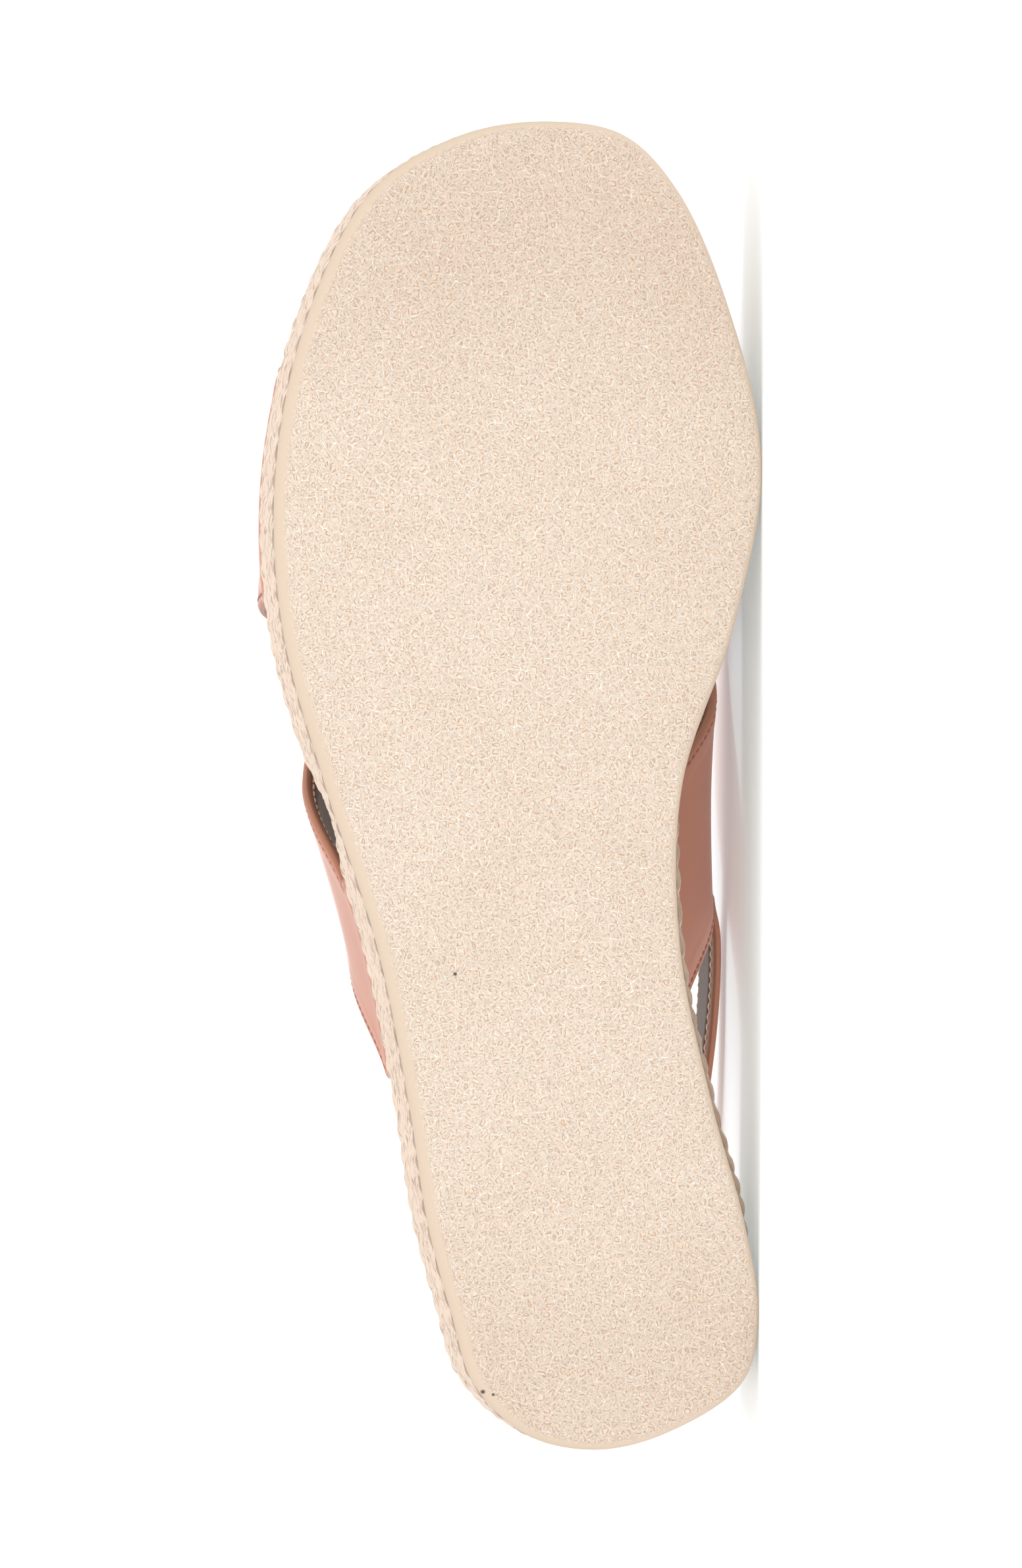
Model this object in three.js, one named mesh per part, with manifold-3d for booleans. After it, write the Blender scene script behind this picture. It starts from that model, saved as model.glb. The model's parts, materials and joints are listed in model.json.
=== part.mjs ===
// Platform sandal for the right foot, lying on its inner side with its sole towards -Y.
// Millimetres, +Z up, toe towards +X. The pieces are worked out in the shoe's own frame
// (x from heel to toe, y towards the inner side, z up from the tread) and then turned as one.
import * as THREE from 'three';
import { mergeVertices } from 'three/addons/utils/BufferGeometryUtils.js';
import Module from 'manifold-3d';

const wasm = await Module();
wasm.setup();

// Driving sizes
const length = 257;             // outsole, heel to toe
const ballWidth = 93.6;         // outsole across the ball
const instepHeight = 62;        // inside of the upper over the platform, at half length
const outsoleThickness = 4.5;
const outsoleEdgeRound = 2.2;
const toeSpring = 5;            // rise of the tread at the toe tip
const braidRows = 4;
const braidHeight = 7.9;        // one row of braid
const braidBulge = 1.3;         // how far a row swells from its groove
const waistFlare = 1.6;         // how far the braid stands past the outsole at the inner waist
const insoleThickness = 4.2;
const insoleEdgeRound = 1.2;
const leatherThickness = 2;     // leather, fold and lining
const overStrapWidth = 46.5;    // along the sole's edge
const underStrapWidth = 39.5;
const heelStrapWidth = 13;
const heelStrapThickness = 1.7;
const strapOverhang = 0;        // outer face of a strap end past the platform's outline
const lastingMargin = 11;       // strap end tucked under the insole
const heelStrapTuck = 11;       // heel strap end sewn into the other straps
const gap = 0.3;                // clearance between neighbouring pieces
const insoleGap = 0.45;         // clearance of the insole inside the strap ends
const crossingSink = 0.2;       // overlap that joins the straps where they cross

// Outline of the outsole: shares of length, and of ball width to the outer and inner side
const outlineTable = [
  { share: 0.012, outer: 0.068, inner: 0.224 },
  { share: 0.050, outer: 0.174, inner: 0.383 },
  { share: 0.100, outer: 0.218, inner: 0.417 },
  { share: 0.170, outer: 0.269, inner: 0.388 },
  { share: 0.260, outer: 0.308, inner: 0.320 },
  { share: 0.380, outer: 0.375, inner: 0.253 },
  { share: 0.500, outer: 0.482, inner: 0.258 },
  { share: 0.620, outer: 0.571, inner: 0.366 },
  { share: 0.740, outer: 0.583, inner: 0.424 },
  { share: 0.860, outer: 0.509, inner: 0.355 },
  { share: 0.950, outer: 0.374, inner: 0.249 },
  { share: 0.990, outer: 0.190, inner: 0.142 },
];
const heelTipSide = 0.075;      // shares of ball width towards the inner side
const toeTipSide = -0.007;
const springStart = 0.76;       // share of length where the tread starts to rise

// Foot form under the straps: share of length; widest point to either side and crest's place as
// shares of ball width; heights of the widest point and of the crest as shares of instep height
const formTable = [
  { share: 0.26, inner: 0.400, outer: 0.312, side: 0.472, crest: 0.06, top: 1.30 },
  { share: 0.38, inner: 0.392, outer: 0.358, side: 0.468, crest: 0.08, top: 1.15 },
  { share: 0.50, inner: 0.385, outer: 0.449, side: 0.444, crest: 0.10, top: 1.00 },
  { share: 0.62, inner: 0.401, outer: 0.535, side: 0.383, crest: 0.11, top: 0.82 },
  { share: 0.74, inner: 0.418, outer: 0.485, side: 0.295, crest: 0.12, top: 0.64 },
  { share: 0.84, inner: 0.385, outer: 0.466, side: 0.240, crest: 0.10, top: 0.52 },
];
const innerFullness = 0.74;     // roundness of the form's shoulders
const outerFullness = 0.69;

// Strap ends: share of length at the middle of each end, and bend towards the front end
const overStrap = { inner: 0.384, outer: 0.730, width: overStrapWidth, sweep: 1.85 };
const underStrap = { inner: 0.728, outer: 0.352, width: underStrapWidth, sweep: 1.3 };
const heelStrapPlace = 0.20;    // where the heel strap leaves them, from either side to the crest
const heelStrapLean = 0.25;     // inward lean at a ball width to the side
const rampWidth = 7;            // over this width the upper strap steps up at a crossing

// Heel strap's middle: share of length, of ball width to the inner side, of instep height
const heelStrapTable = [
  { share: 0.380, side: 0.416, height: 0.60 },
  { share: 0.290, side: 0.406, height: 0.64 },
  { share: 0.170, side: 0.356, height: 0.79 },
  { share: 0.066, side: 0.235, height: 0.90 },
  { share: 0.035, side: 0.085, height: 0.93 },
  { share: 0.064, side: -0.065, height: 0.92 },
  { share: 0.150, side: -0.178, height: 0.86 },
  { share: 0.250, side: -0.236, height: 0.75 },
  { share: 0.330, side: -0.306, height: 0.655 },
];

// Fineness of the meshes
const stepsPerRow = 4;          // outline steps between two rows of its table
const roundSteps = 3;
const braidSteps = 4;
const strapSteps = 42;
const strapAcross = 9;
const heelStrapSteps = 64;

// Sizes that follow
const platformBase = outsoleThickness + gap;
const platformTop = platformBase + braidRows * braidHeight;
const insoleTop = gap + insoleThickness;             // over the platform
const tuckTop = gap + leatherThickness;              // over the platform
const strapInset = leatherThickness - strapOverhang; // inner face of a strap end
const insoleInset = strapInset + insoleGap;

// Rise of the tread, and of everything above it, towards the toe
function rise(x) {
  const past = Math.max(0, x / length - springStart) / (1 - springStart);
  return toeSpring * past * past;
}

// Smooth function of the share of length through one column of a table
function smoothColumn(table, name) {
  const shares = table.map((row) => row.share);
  const values = table.map((row) => row[name]);
  const curve = new THREE.CubicInterpolant(shares, values, 1, new Float64Array(1));
  return (x) => curve.evaluate(THREE.MathUtils.clamp(x / length, shares[0], shares.at(-1)))[0];
}

// Outline as points with outward normals: heel tip, inner side, toe tip, outer side
function makeOutline() {
  const point = (share, side) => new THREE.Vector3(share * length, side * ballWidth, 0);
  const innerSide = outlineTable.map((row) => point(row.share, row.inner));
  const outerSide = outlineTable.map((row) => point(row.share, -row.outer)).reverse();
  const corners = [point(0, heelTipSide), ...innerSide, point(1, toeTipSide), ...outerSide];
  const curve = new THREE.CatmullRomCurve3(corners, true, 'centripetal');
  const count = corners.length * stepsPerRow;
  const outline = [];
  for (let k = 0; k < count; k += 1) {
    const spot = curve.getPoint(k / count);
    const along = curve.getTangent(k / count);
    const inner = k < count / 2;
    outline.push({ x: spot.x, y: spot.y, nx: -along.y, ny: along.x, inner });
  }
  return outline;
}

const outline = makeOutline();
const half = outline.length / 2;

// The braid stands past the outsole along the inner waist and heel
function flare(spot) {
  const share = spot.x / length;
  const start = THREE.MathUtils.smoothstep(share, 0.12, 0.2);
  const end = 1 - THREE.MathUtils.smoothstep(share, 0.42, 0.54);
  return spot.inner ? waistFlare * start * end : 0;
}

// Outline drawn in by an inset, at a height over the tread
function outsoleRing(inset, height) {
  const moved = (p) => new THREE.Vector3(p.x - p.nx * inset, p.y - p.ny * inset, height + rise(p.x));
  return outline.map(moved);
}

function platformRing(inset, height) {
  const ringPoint = (p) => {
    const out = flare(p) - inset;
    return new THREE.Vector3(p.x + p.nx * out, p.y + p.ny * out, height + rise(p.x));
  };
  return outline.map(ringPoint);
}

// Side of the platform outline at x, drawn in by an inset: positive y on the inner side
function edgeAt(x, inner, inset) {
  const ring = platformRing(inset, 0);
  const side = inner ? ring.slice(0, half + 1) : [...ring.slice(half), ring[0]].reverse();
  const next = Math.max(1, side.findIndex((p) => p.x > x));
  const part = (x - side[next - 1].x) / (side[next].x - side[next - 1].x);
  return THREE.MathUtils.lerp(side[next - 1].y, side[next].y, part);
}

// Closed body from points and triangles
function body(points, triangles) {
  const geometry = new THREE.BufferGeometry();
  geometry.setAttribute('position', new THREE.Float32BufferAttribute(points.flatMap((p) => p.toArray()), 3));
  geometry.setIndex(triangles.flat());
  return mergeVertices(geometry, 1e-4);
}

// Body from rings that lie one over another, closed by a ladder of faces at both ends
function stack(rings) {
  const count = rings[0].length;
  const triangles = [];
  const quad = (a, b, c, d) => triangles.push([a, b, c], [a, c, d]);
  for (let level = 0; level + 1 < rings.length; level += 1) {
    for (let k = 0; k < count; k += 1) {
      const next = (k + 1) % count;
      const low = level * count;
      quad(low + next, low + k, low + count + k, low + count + next);
    }
  }
  const top = (rings.length - 1) * count;
  for (let k = 0; k < count / 2; k += 1) {
    const ladder = [k, k + 1, count - k - 1, (count - k) % count];
    quad(...ladder);
    quad(...ladder.map((index) => top + index).reverse());
  }
  return body(rings.flat(), triangles.filter((t) => new Set(t).size === 3));
}

// Closed wall between two grids of points, with its edges faced
function wall(inside, outside) {
  const rows = inside.length;
  const columns = inside[0].length;
  const triangles = [];
  const quad = (a, b, c, d) => triangles.push([a, b, c], [a, c, d]);
  const near = (i, j) => i * columns + j;
  const far = (i, j) => rows * columns + i * columns + j;
  for (let i = 0; i + 1 < rows; i += 1) {
    for (let j = 0; j + 1 < columns; j += 1) {
      quad(near(i, j), near(i, j + 1), near(i + 1, j + 1), near(i + 1, j));
      quad(far(i, j), far(i + 1, j), far(i + 1, j + 1), far(i, j + 1));
    }
    quad(near(i, 0), near(i + 1, 0), far(i + 1, 0), far(i, 0));
    quad(near(i + 1, columns - 1), near(i, columns - 1), far(i, columns - 1), far(i + 1, columns - 1));
  }
  for (let j = 0; j + 1 < columns; j += 1) {
    quad(near(0, j + 1), near(0, j), far(0, j), far(0, j + 1));
    quad(near(rows - 1, j), near(rows - 1, j + 1), far(rows - 1, j + 1), far(rows - 1, j));
  }
  return body([...inside.flat(), ...outside.flat()], triangles);
}

// Solid of a closed body, and the way back
function solid(geometry) {
  const vertProperties = new Float32Array(geometry.attributes.position.array);
  const triVerts = new Uint32Array(geometry.index.array);
  return new wasm.Manifold(new wasm.Mesh({ numProp: 3, vertProperties, triVerts }));
}

function geometryOf(manifold) {
  const result = manifold.getMesh();
  const geometry = new THREE.BufferGeometry();
  geometry.setAttribute('position', new THREE.BufferAttribute(result.vertProperties, 3));
  geometry.setIndex(new THREE.BufferAttribute(result.triVerts, 1));
  return geometry;
}

// Outsole: flat tread with a rounded rim
function makeOutsole() {
  const rings = [];
  for (let step = 0; step <= roundSteps; step += 1) {
    const angle = (step / roundSteps) * Math.PI / 2;
    const inset = outsoleEdgeRound * (1 - Math.sin(angle));
    rings.push(outsoleRing(inset, outsoleEdgeRound * (1 - Math.cos(angle))));
  }
  rings.push(outsoleRing(0, outsoleThickness));
  return stack(rings);
}

// Platform wrapped in rows of braid, each row a rib round its side
function makePlatform() {
  const rings = [];
  for (let row = 0; row < braidRows; row += 1) {
    const first = row === 0 ? 0 : 1;
    for (let step = first; step <= braidSteps; step += 1) {
      const part = step / braidSteps;
      const inset = braidBulge * (1 - Math.sin(part * Math.PI) ** 0.8);
      rings.push(platformRing(inset, platformBase + (row + part) * braidHeight));
    }
  }
  return stack(rings);
}

// Foot form's section at x: a curve from the inner side over the crest to the outer side
const formColumns = Object.fromEntries(
  ['inner', 'outer', 'side', 'crest', 'top'].map((name) => [name, smoothColumn(formTable, name)]),
);

function formSection(x) {
  const base = platformTop + rise(x);
  const low = base + insoleTop;
  const side = base + formColumns.side(x) * instepHeight;
  const top = base + formColumns.top(x) * instepHeight;
  const crest = formColumns.crest(x) * ballWidth;
  const inner = formColumns.inner(x) * ballWidth;
  const outer = -formColumns.outer(x) * ballWidth;
  const shoulder = (reach, fullness) => new THREE.Vector2(
    THREE.MathUtils.lerp(crest, reach, fullness),
    THREE.MathUtils.lerp(side, top, fullness),
  );
  return new THREE.SplineCurve([
    new THREE.Vector2(edgeAt(x, true, strapInset), low),
    new THREE.Vector2(inner, side),
    shoulder(inner, innerFullness),
    new THREE.Vector2(crest, top),
    shoulder(outer, outerFullness),
    new THREE.Vector2(outer, side),
    new THREE.Vector2(edgeAt(x, false, strapInset), low),
  ]);
}

// Point of the form at x, and t from 0 on the inner side to 1 on the outer side
function formPoint(x, t) {
  const spot = formSection(x).getPoint(THREE.MathUtils.clamp(t, 0, 1));
  return new THREE.Vector3(x, spot.x, spot.y);
}

// Outward normal and the direction up the form, by small steps either way
function formFrame(x, t) {
  const small = 0.004;
  const before = Math.max(0, t - small);
  const after = Math.min(1, t + small);
  const up = formPoint(x, after).sub(formPoint(x, before)).normalize();
  const reach = small * length;
  const along = formPoint(x + reach, t).sub(formPoint(x - reach, t)).normalize();
  return { up, normal: new THREE.Vector3().crossVectors(up, along).normalize() };
}

// Middle of a strap at t: it leaves its rear end on a slant and meets its front end square
function strapMiddle(strap, t) {
  const innerFront = strap.inner > strap.outer;
  const way = innerFront ? 1 - t : t;
  const part = 1 - (1 - way) ** strap.sweep;
  const rear = Math.min(strap.inner, strap.outer);
  const front = Math.max(strap.inner, strap.outer);
  return length * THREE.MathUtils.lerp(rear, front, part);
}

// How far the over strap is lifted by the under strap at x, t
function crossingLift(x, t) {
  const away = Math.abs(x - strapMiddle(underStrap, t)) - underStrapWidth / 2;
  const full = leatherThickness - crossingSink;
  return full * (1 - THREE.MathUtils.smoothstep(away, 0, rampWidth));
}

// Strap on the form, its ends bent in over the platform
function makeStrap(strap, lift) {
  const inside = [];
  const outside = [];
  const end = (inner) => {
    const t = inner ? 0 : 1;
    const outward = inner ? 1 : -1;
    const rows = [[], [], [], []];
    for (let j = 0; j <= strapAcross; j += 1) {
      const x = strapMiddle(strap, t) + strap.width * (j / strapAcross - 0.5);
      const z = platformTop + tuckTop + rise(x);
      const root = new THREE.Vector3(x, edgeAt(x, inner, strapInset + lastingMargin), z);
      const corner = new THREE.Vector3(x, edgeAt(x, inner, strapInset), z);
      rows[0].push(root);
      rows[1].push(root.clone().add(new THREE.Vector3(0, 0, -leatherThickness)));
      rows[2].push(corner);
      rows[3].push(corner.clone().add(new THREE.Vector3(0, outward * leatherThickness, -leatherThickness)));
    }
    return rows;
  };
  const first = end(true);
  inside.push(first[0], first[2]);
  outside.push(first[1], first[3]);
  for (let i = 0; i <= strapSteps; i += 1) {
    const t = i / strapSteps;
    const innerRow = [];
    const outerRow = [];
    for (let j = 0; j <= strapAcross; j += 1) {
      const x = strapMiddle(strap, t) + strap.width * (j / strapAcross - 0.5);
      const { normal } = formFrame(x, t);
      const point = formPoint(x, t).addScaledVector(normal, lift(x, t));
      innerRow.push(point);
      outerRow.push(point.clone().addScaledVector(normal, leatherThickness));
    }
    inside.push(innerRow);
    outside.push(outerRow);
  }
  const last = end(false);
  inside.push(last[2], last[0]);
  outside.push(last[3], last[1]);
  return wall(inside, outside);
}

// Strap round the heel, its ends sewn between the leather and lining of the other straps
function makeHeelStrap() {
  const lower = [];
  const upper = [];
  const addPoint = (middle, up) => {
    lower.push(middle.clone().addScaledVector(up, -heelStrapWidth / 2));
    upper.push(middle.clone().addScaledVector(up, heelStrapWidth / 2));
  };
  const addSewn = (strap, t, sign) => {
    const rear = strapMiddle(strap, t) - strap.width / 2;
    const places = sign > 0 ? [rear + heelStrapTuck, rear] : [rear, rear + heelStrapTuck];
    for (const x of places) {
      const { up, normal } = formFrame(x, t);
      addPoint(formPoint(x, t).addScaledVector(normal, leatherThickness / 2), up.multiplyScalar(sign));
    }
  };
  addSewn(overStrap, heelStrapPlace, 1);
  for (const row of heelStrapTable) {
    const height = platformTop + row.height * instepHeight;
    const middle = new THREE.Vector3(row.share * length, row.side * ballWidth, height);
    addPoint(middle, new THREE.Vector3(0, -heelStrapLean * row.side, 1).normalize());
  }
  addSewn(underStrap, 1 - heelStrapPlace, -1);
  const lowerCurve = new THREE.CatmullRomCurve3(lower, false, 'centripetal');
  const upperCurve = new THREE.CatmullRomCurve3(upper, false, 'centripetal');
  const inside = [];
  const outside = [];
  for (let i = 0; i <= heelStrapSteps; i += 1) {
    const t = i / heelStrapSteps;
    const ends = [upperCurve.getPoint(t), lowerCurve.getPoint(t)];
    const across = ends[0].clone().sub(ends[1]);
    const normal = lowerCurve.getTangent(t).cross(across).normalize();
    const shift = (distance) => ends.map((p) => p.clone().addScaledVector(normal, distance));
    inside.push(shift(-heelStrapThickness / 2));
    outside.push(shift(heelStrapThickness / 2));
  }
  return wall(outside, inside);
}

// Upper: two wide straps that cross over the instep and the heel strap, joined in one
function makeUpper() {
  const over = solid(makeStrap(overStrap, crossingLift));
  const under = solid(makeStrap(underStrap, () => 0));
  return geometryOf(under.add(over).add(solid(makeHeelStrap())));
}

// Room for a tucked strap end, from outside the insole to past the end
function tuckRoom(strap, inner) {
  const low = [];
  const high = [];
  const outward = inner ? 1 : -1;
  const width = strap.width + 2 * gap;
  for (let j = 0; j <= strapAcross; j += 1) {
    const x = strapMiddle(strap, inner ? 0 : 1) + width * (j / strapAcross - 0.5);
    const base = platformTop + rise(x);
    const deep = edgeAt(x, inner, strapInset + lastingMargin + gap);
    const open = edgeAt(x, inner, 0) + outward * leatherThickness;
    const level = (z) => [new THREE.Vector3(x, deep, z), new THREE.Vector3(x, open, z)];
    low.push(level(base - gap));
    high.push(level(base + tuckTop + gap));
  }
  return inner ? wall(low, high) : wall(high, low);
}

// Insole: a padded board with a rounded edge, relieved underneath for the strap ends
function makeInsole() {
  const rings = [platformRing(insoleInset, platformTop + gap)];
  for (let step = 0; step <= roundSteps; step += 1) {
    const angle = (step / roundSteps) * Math.PI / 2;
    const inset = insoleInset + insoleEdgeRound * (1 - Math.cos(angle));
    const height = insoleTop - insoleEdgeRound * (1 - Math.sin(angle));
    rings.push(platformRing(inset, platformTop + height));
  }
  let insole = solid(stack(rings));
  for (const strap of [overStrap, underStrap]) {
    insole = insole.subtract(solid(tuckRoom(strap, true)));
    insole = insole.subtract(solid(tuckRoom(strap, false)));
  }
  return geometryOf(insole);
}

function makeMesh(name, geometry, look) {
  const mesh = new THREE.Mesh(geometry, new THREE.MeshStandardMaterial(look));
  mesh.name = name;
  return mesh;
}

// Vertex that lies farthest along a direction
function farthest(geometries, direction, accept) {
  let best = null;
  const spot = new THREE.Vector3();
  for (const geometry of geometries) {
    const position = geometry.attributes.position;
    for (let k = 0; k < position.count; k += 1) {
      spot.fromBufferAttribute(position, k);
      if (accept(spot) && (best === null || spot.dot(direction) > best.dot(direction))) {
        best = spot.clone();
      }
    }
  }
  return best;
}

// Direction to the floor: the plane through the lowest points of forefoot, heel and upper
function floorDirection(sole, upper) {
  let down = new THREE.Vector3(0, 1, 0);
  for (let round = 0; round < 12; round += 1) {
    const forefoot = farthest(sole, down, (p) => p.x > length / 2);
    const heel = farthest(sole, down, (p) => p.x < length / 2);
    const strap = farthest([upper], down, () => true);
    down = forefoot.clone().sub(heel).cross(strap.clone().sub(heel)).normalize();
    down.multiplyScalar(Math.sign(down.y));
  }
  return down;
}

const outsole = makeOutsole();
const platform = makePlatform();
const insole = makeInsole();
const upper = makeUpper();

const shoe = new THREE.Group();
shoe.add(makeMesh('outsole', outsole, { color: 0xeedcc4, roughness: 0.75, metalness: 0 }));
shoe.add(makeMesh('platform_braid', platform, { color: 0xe6cfae, roughness: 0.9, metalness: 0 }));
shoe.add(makeMesh('insole', insole, { color: 0xc89a76, roughness: 0.6, metalness: 0 }));
shoe.add(makeMesh('upper', upper, { color: 0xc98a72, roughness: 0.35, metalness: 0 }));

// Laid on the inner side, toe towards +X, lowest point on the floor under the box's middle
const up = floorDirection([outsole, platform], upper).negate();
const forward = new THREE.Vector3(1, 0, 0).addScaledVector(up, -up.x).normalize();
const back = new THREE.Vector3().crossVectors(up, forward);
shoe.setRotationFromMatrix(new THREE.Matrix4().makeBasis(forward, back, up).transpose());
shoe.updateMatrixWorld(true);
const box = new THREE.Box3().setFromObject(shoe, true);
const middle = box.getCenter(new THREE.Vector3());
shoe.position.set(-middle.x, -middle.y, -box.min.z);

const group = new THREE.Group();
group.add(shoe);

export default group;
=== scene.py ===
"""Looks of a right-foot platform sandal that lies on its inner side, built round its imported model.

Shapes are worked out in the shoe's own frame, in metres: x from heel to toe, y towards the inner
side, z from the tread up. The function place() carries them into the model's frame.
"""

import json
from functools import lru_cache

import bpy
import numpy as np
from mathutils import Matrix


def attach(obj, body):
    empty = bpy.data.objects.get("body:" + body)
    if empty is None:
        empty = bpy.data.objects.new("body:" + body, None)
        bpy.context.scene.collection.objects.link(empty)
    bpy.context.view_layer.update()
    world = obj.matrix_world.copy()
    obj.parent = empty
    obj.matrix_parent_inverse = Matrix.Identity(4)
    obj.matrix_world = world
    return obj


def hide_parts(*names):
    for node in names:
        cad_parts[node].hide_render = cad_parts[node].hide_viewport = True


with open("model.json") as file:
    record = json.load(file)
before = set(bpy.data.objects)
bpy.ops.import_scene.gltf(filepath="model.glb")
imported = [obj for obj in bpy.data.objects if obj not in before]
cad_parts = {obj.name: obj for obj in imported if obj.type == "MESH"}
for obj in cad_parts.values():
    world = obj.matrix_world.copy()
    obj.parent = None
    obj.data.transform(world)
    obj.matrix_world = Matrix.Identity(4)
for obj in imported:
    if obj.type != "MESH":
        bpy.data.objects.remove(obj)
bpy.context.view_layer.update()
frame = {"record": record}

bl_info = {
    "name": "Platform sandal",
    "version": (1, 0, 0),
    "blender": (4, 5, 0),
    "location": "3D View > Sidebar > Sandal",
    "description": "Builds the looks of a platform sandal round its packed model",
    "category": "Object",
}

MM = 0.001

# Outline of the outsole: shares of length, and of ball width to the outer and inner side
OUTLINE = (
    (0.012, 0.068, 0.224),
    (0.050, 0.174, 0.383),
    (0.100, 0.218, 0.417),
    (0.170, 0.269, 0.388),
    (0.260, 0.308, 0.320),
    (0.380, 0.375, 0.253),
    (0.500, 0.482, 0.258),
    (0.620, 0.571, 0.366),
    (0.740, 0.583, 0.424),
    (0.860, 0.509, 0.355),
    (0.950, 0.374, 0.249),
    (0.990, 0.190, 0.142),
)
HEEL_TIP_SIDE = 0.075
TOE_TIP_SIDE = -0.007
SPRING_START = 0.76

# Foot form: share of length; widest point inward, outward; its height; crest's place; its height
FORM = np.array((
    (0.26, 0.400, 0.312, 0.472, 0.06, 1.30),
    (0.38, 0.392, 0.358, 0.468, 0.08, 1.15),
    (0.50, 0.385, 0.449, 0.444, 0.10, 1.00),
    (0.62, 0.401, 0.535, 0.383, 0.11, 0.82),
    (0.74, 0.418, 0.485, 0.295, 0.12, 0.64),
    (0.84, 0.385, 0.466, 0.240, 0.10, 0.52),
))
INNER_FULLNESS = 0.74
OUTER_FULLNESS = 0.69

# Strap ends as shares of length at their middle, inner and outer side, and how the way bends
OVER_STRAP = {"name": "over", "inner": 0.384, "outer": 0.730, "sweep": 1.85}
UNDER_STRAP = {"name": "under", "inner": 0.728, "outer": 0.352, "sweep": 1.3}

# Width in which the over strap comes down beside the under strap
RAMP_WIDTH = 7 * MM

# Heel strap: where it leaves the straps, its lean, its sewn share at either end and its thinning
HEEL_STRAP_PLACE = 0.20
HEEL_STRAP_LEAN = 0.25
SEWN_SHARE = 1 / 12
SEWN_THINNING = 0.5

# Section of a strap: its folded border, which rises a little, and the trough under a topstitch
FOLD_WIDTH = 7 * MM
FOLD_RISE = 0.12 * MM
FOLD_STEP = (4.5 * MM, 6.5 * MM)
TROUGH_DEPTH = 0.22 * MM
TROUGH_WIDTH = 0.5 * MM

# Where the colour of a strap's edge ends, its groove under a topstitch with painted shade, and
# its inner side's share, which gets painted shade
WORN_EDGE = (0.2 * MM, 1.4 * MM)
GROOVE_WIDTH = 0.45 * MM
GROOVE_SHADE = 0.7
INSIDE_SHARE = 0.5

# Linings: distance from a strap's edge, thickness, and how deep they lie in the strap
LINING_MARGIN = 3.6 * MM
HEEL_LINING_MARGIN = 2.6 * MM
LINING_THICKNESS = 0.3 * MM
LINING_BED = 0.15 * MM

# Stitches: thread's thickness, share of the pitch that it spans, how far it lies in the leather,
# holes, and insets of the inner rows and of the insole's
STITCH_THICKNESS = 0.55 * MM
STITCH_SHARE = 0.86
STITCH_SINK = 0.12 * MM
HEEL_STITCH_SINK = 0.1 * MM
INNER_STITCH_RISE = 0.02 * MM
HOLE_RADIUS = 0.4 * MM
INNER_INSET = 1.8 * MM
HEEL_INNER_INSET = 1.7 * MM
INSOLE_STITCH_INSET = 4.2 * MM

# Plait: a strand's swing up and down, its weave in and out, and the half sizes of its section
STRANDS = 3
PLAIT_SWING = 2.25 * MM
PLAIT_WEAVE = 0.42 * MM
STRAND_HALF_WIDTH = 1.9 * MM
STRAND_HALF_DEPTH = 1.0 * MM
OUTER_PROUD = 0.35 * MM

# Core behind the plait: its inset, its distance from the lowest and topmost edge, and its painted
# shade, and how far under the lowest row's middle its strands get painted shade
CORE_INSET = 2.1 * MM
CORE_LOW = 0.4 * MM
CORE_HIGH = 0.5 * MM
CORE_SHADE = 0.6
DARK_BELOW = 2.2 * MM

# The braid is drawn in ahead of the rear outer strap end: how deep, how far ahead, over what length
PINCH_DEPTH = 1.9 * MM
PINCH_AHEAD = 12 * MM
PINCH_LENGTH = 9 * MM

# Insole: inset of its relief underneath, and how the relief ends beside a strap end
RELIEF_INSET = 1.6 * MM
RELIEF_END = (0.3 * MM, 1.2 * MM)

# Outsole: chamfer at its back, and the smooth rim's width midway and its change to either side
BACK_CHAMFER = 0.5 * MM
RIM_WIDTH = 1.25 * MM
RIM_CHANGE = 0.55 * MM
RIM_FADE = (-0.5 * MM, 0.6 * MM)

# Heel strap's middle: share of length, of ball width inward, of instep height
HEEL_STRAP = (
    (0.380, 0.416, 0.600),
    (0.290, 0.406, 0.640),
    (0.170, 0.356, 0.790),
    (0.066, 0.235, 0.900),
    (0.035, 0.085, 0.930),
    (0.064, -0.065, 0.920),
    (0.150, -0.178, 0.860),
    (0.250, -0.236, 0.750),
    (0.330, -0.306, 0.655),
)

# The tread mount's place in the shoe's frame, which ties that frame to the model's
TREAD_PLACE = (110 * MM, 4 * MM)

# Photograph: frame size, the heel tip's row, the column of the shoe's middle line, and scale, then
# a slight enlargement, the view's tilt in degrees and its distance in metres
PHOTO_WIDTH = 1552
PHOTO_HEIGHT = 2380
HEEL_TIP_ROW = 2199
MIDDLE_COLUMN = 850
PIXELS_PER_MM = 7.842
ENLARGEMENT = 1.004
VIEW_TILT = 6.3
CAMERA_DISTANCE = 1.75

# Lights: name, place, target, size in metres, power in watts
LIGHTS = (
    ("top", (0, 0.1, 1.7), (0, 0, 0.05), 0.9, 7),
    ("front", (0.1, -1.6, 0.2), (0, 0, 0.04), 0.6, 8),
    ("back", (0, 1.7, 0.1), (0, 0, 0.04), 0.4, 0.5),
)

# Specks of dirt on the tread, as photograph columns and rows, with their radius in millimetres
DIRT_SPECKS = ((691, 1477, 0.45), (734, 2109, 0.5), (749, 2113, 0.35))

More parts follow.
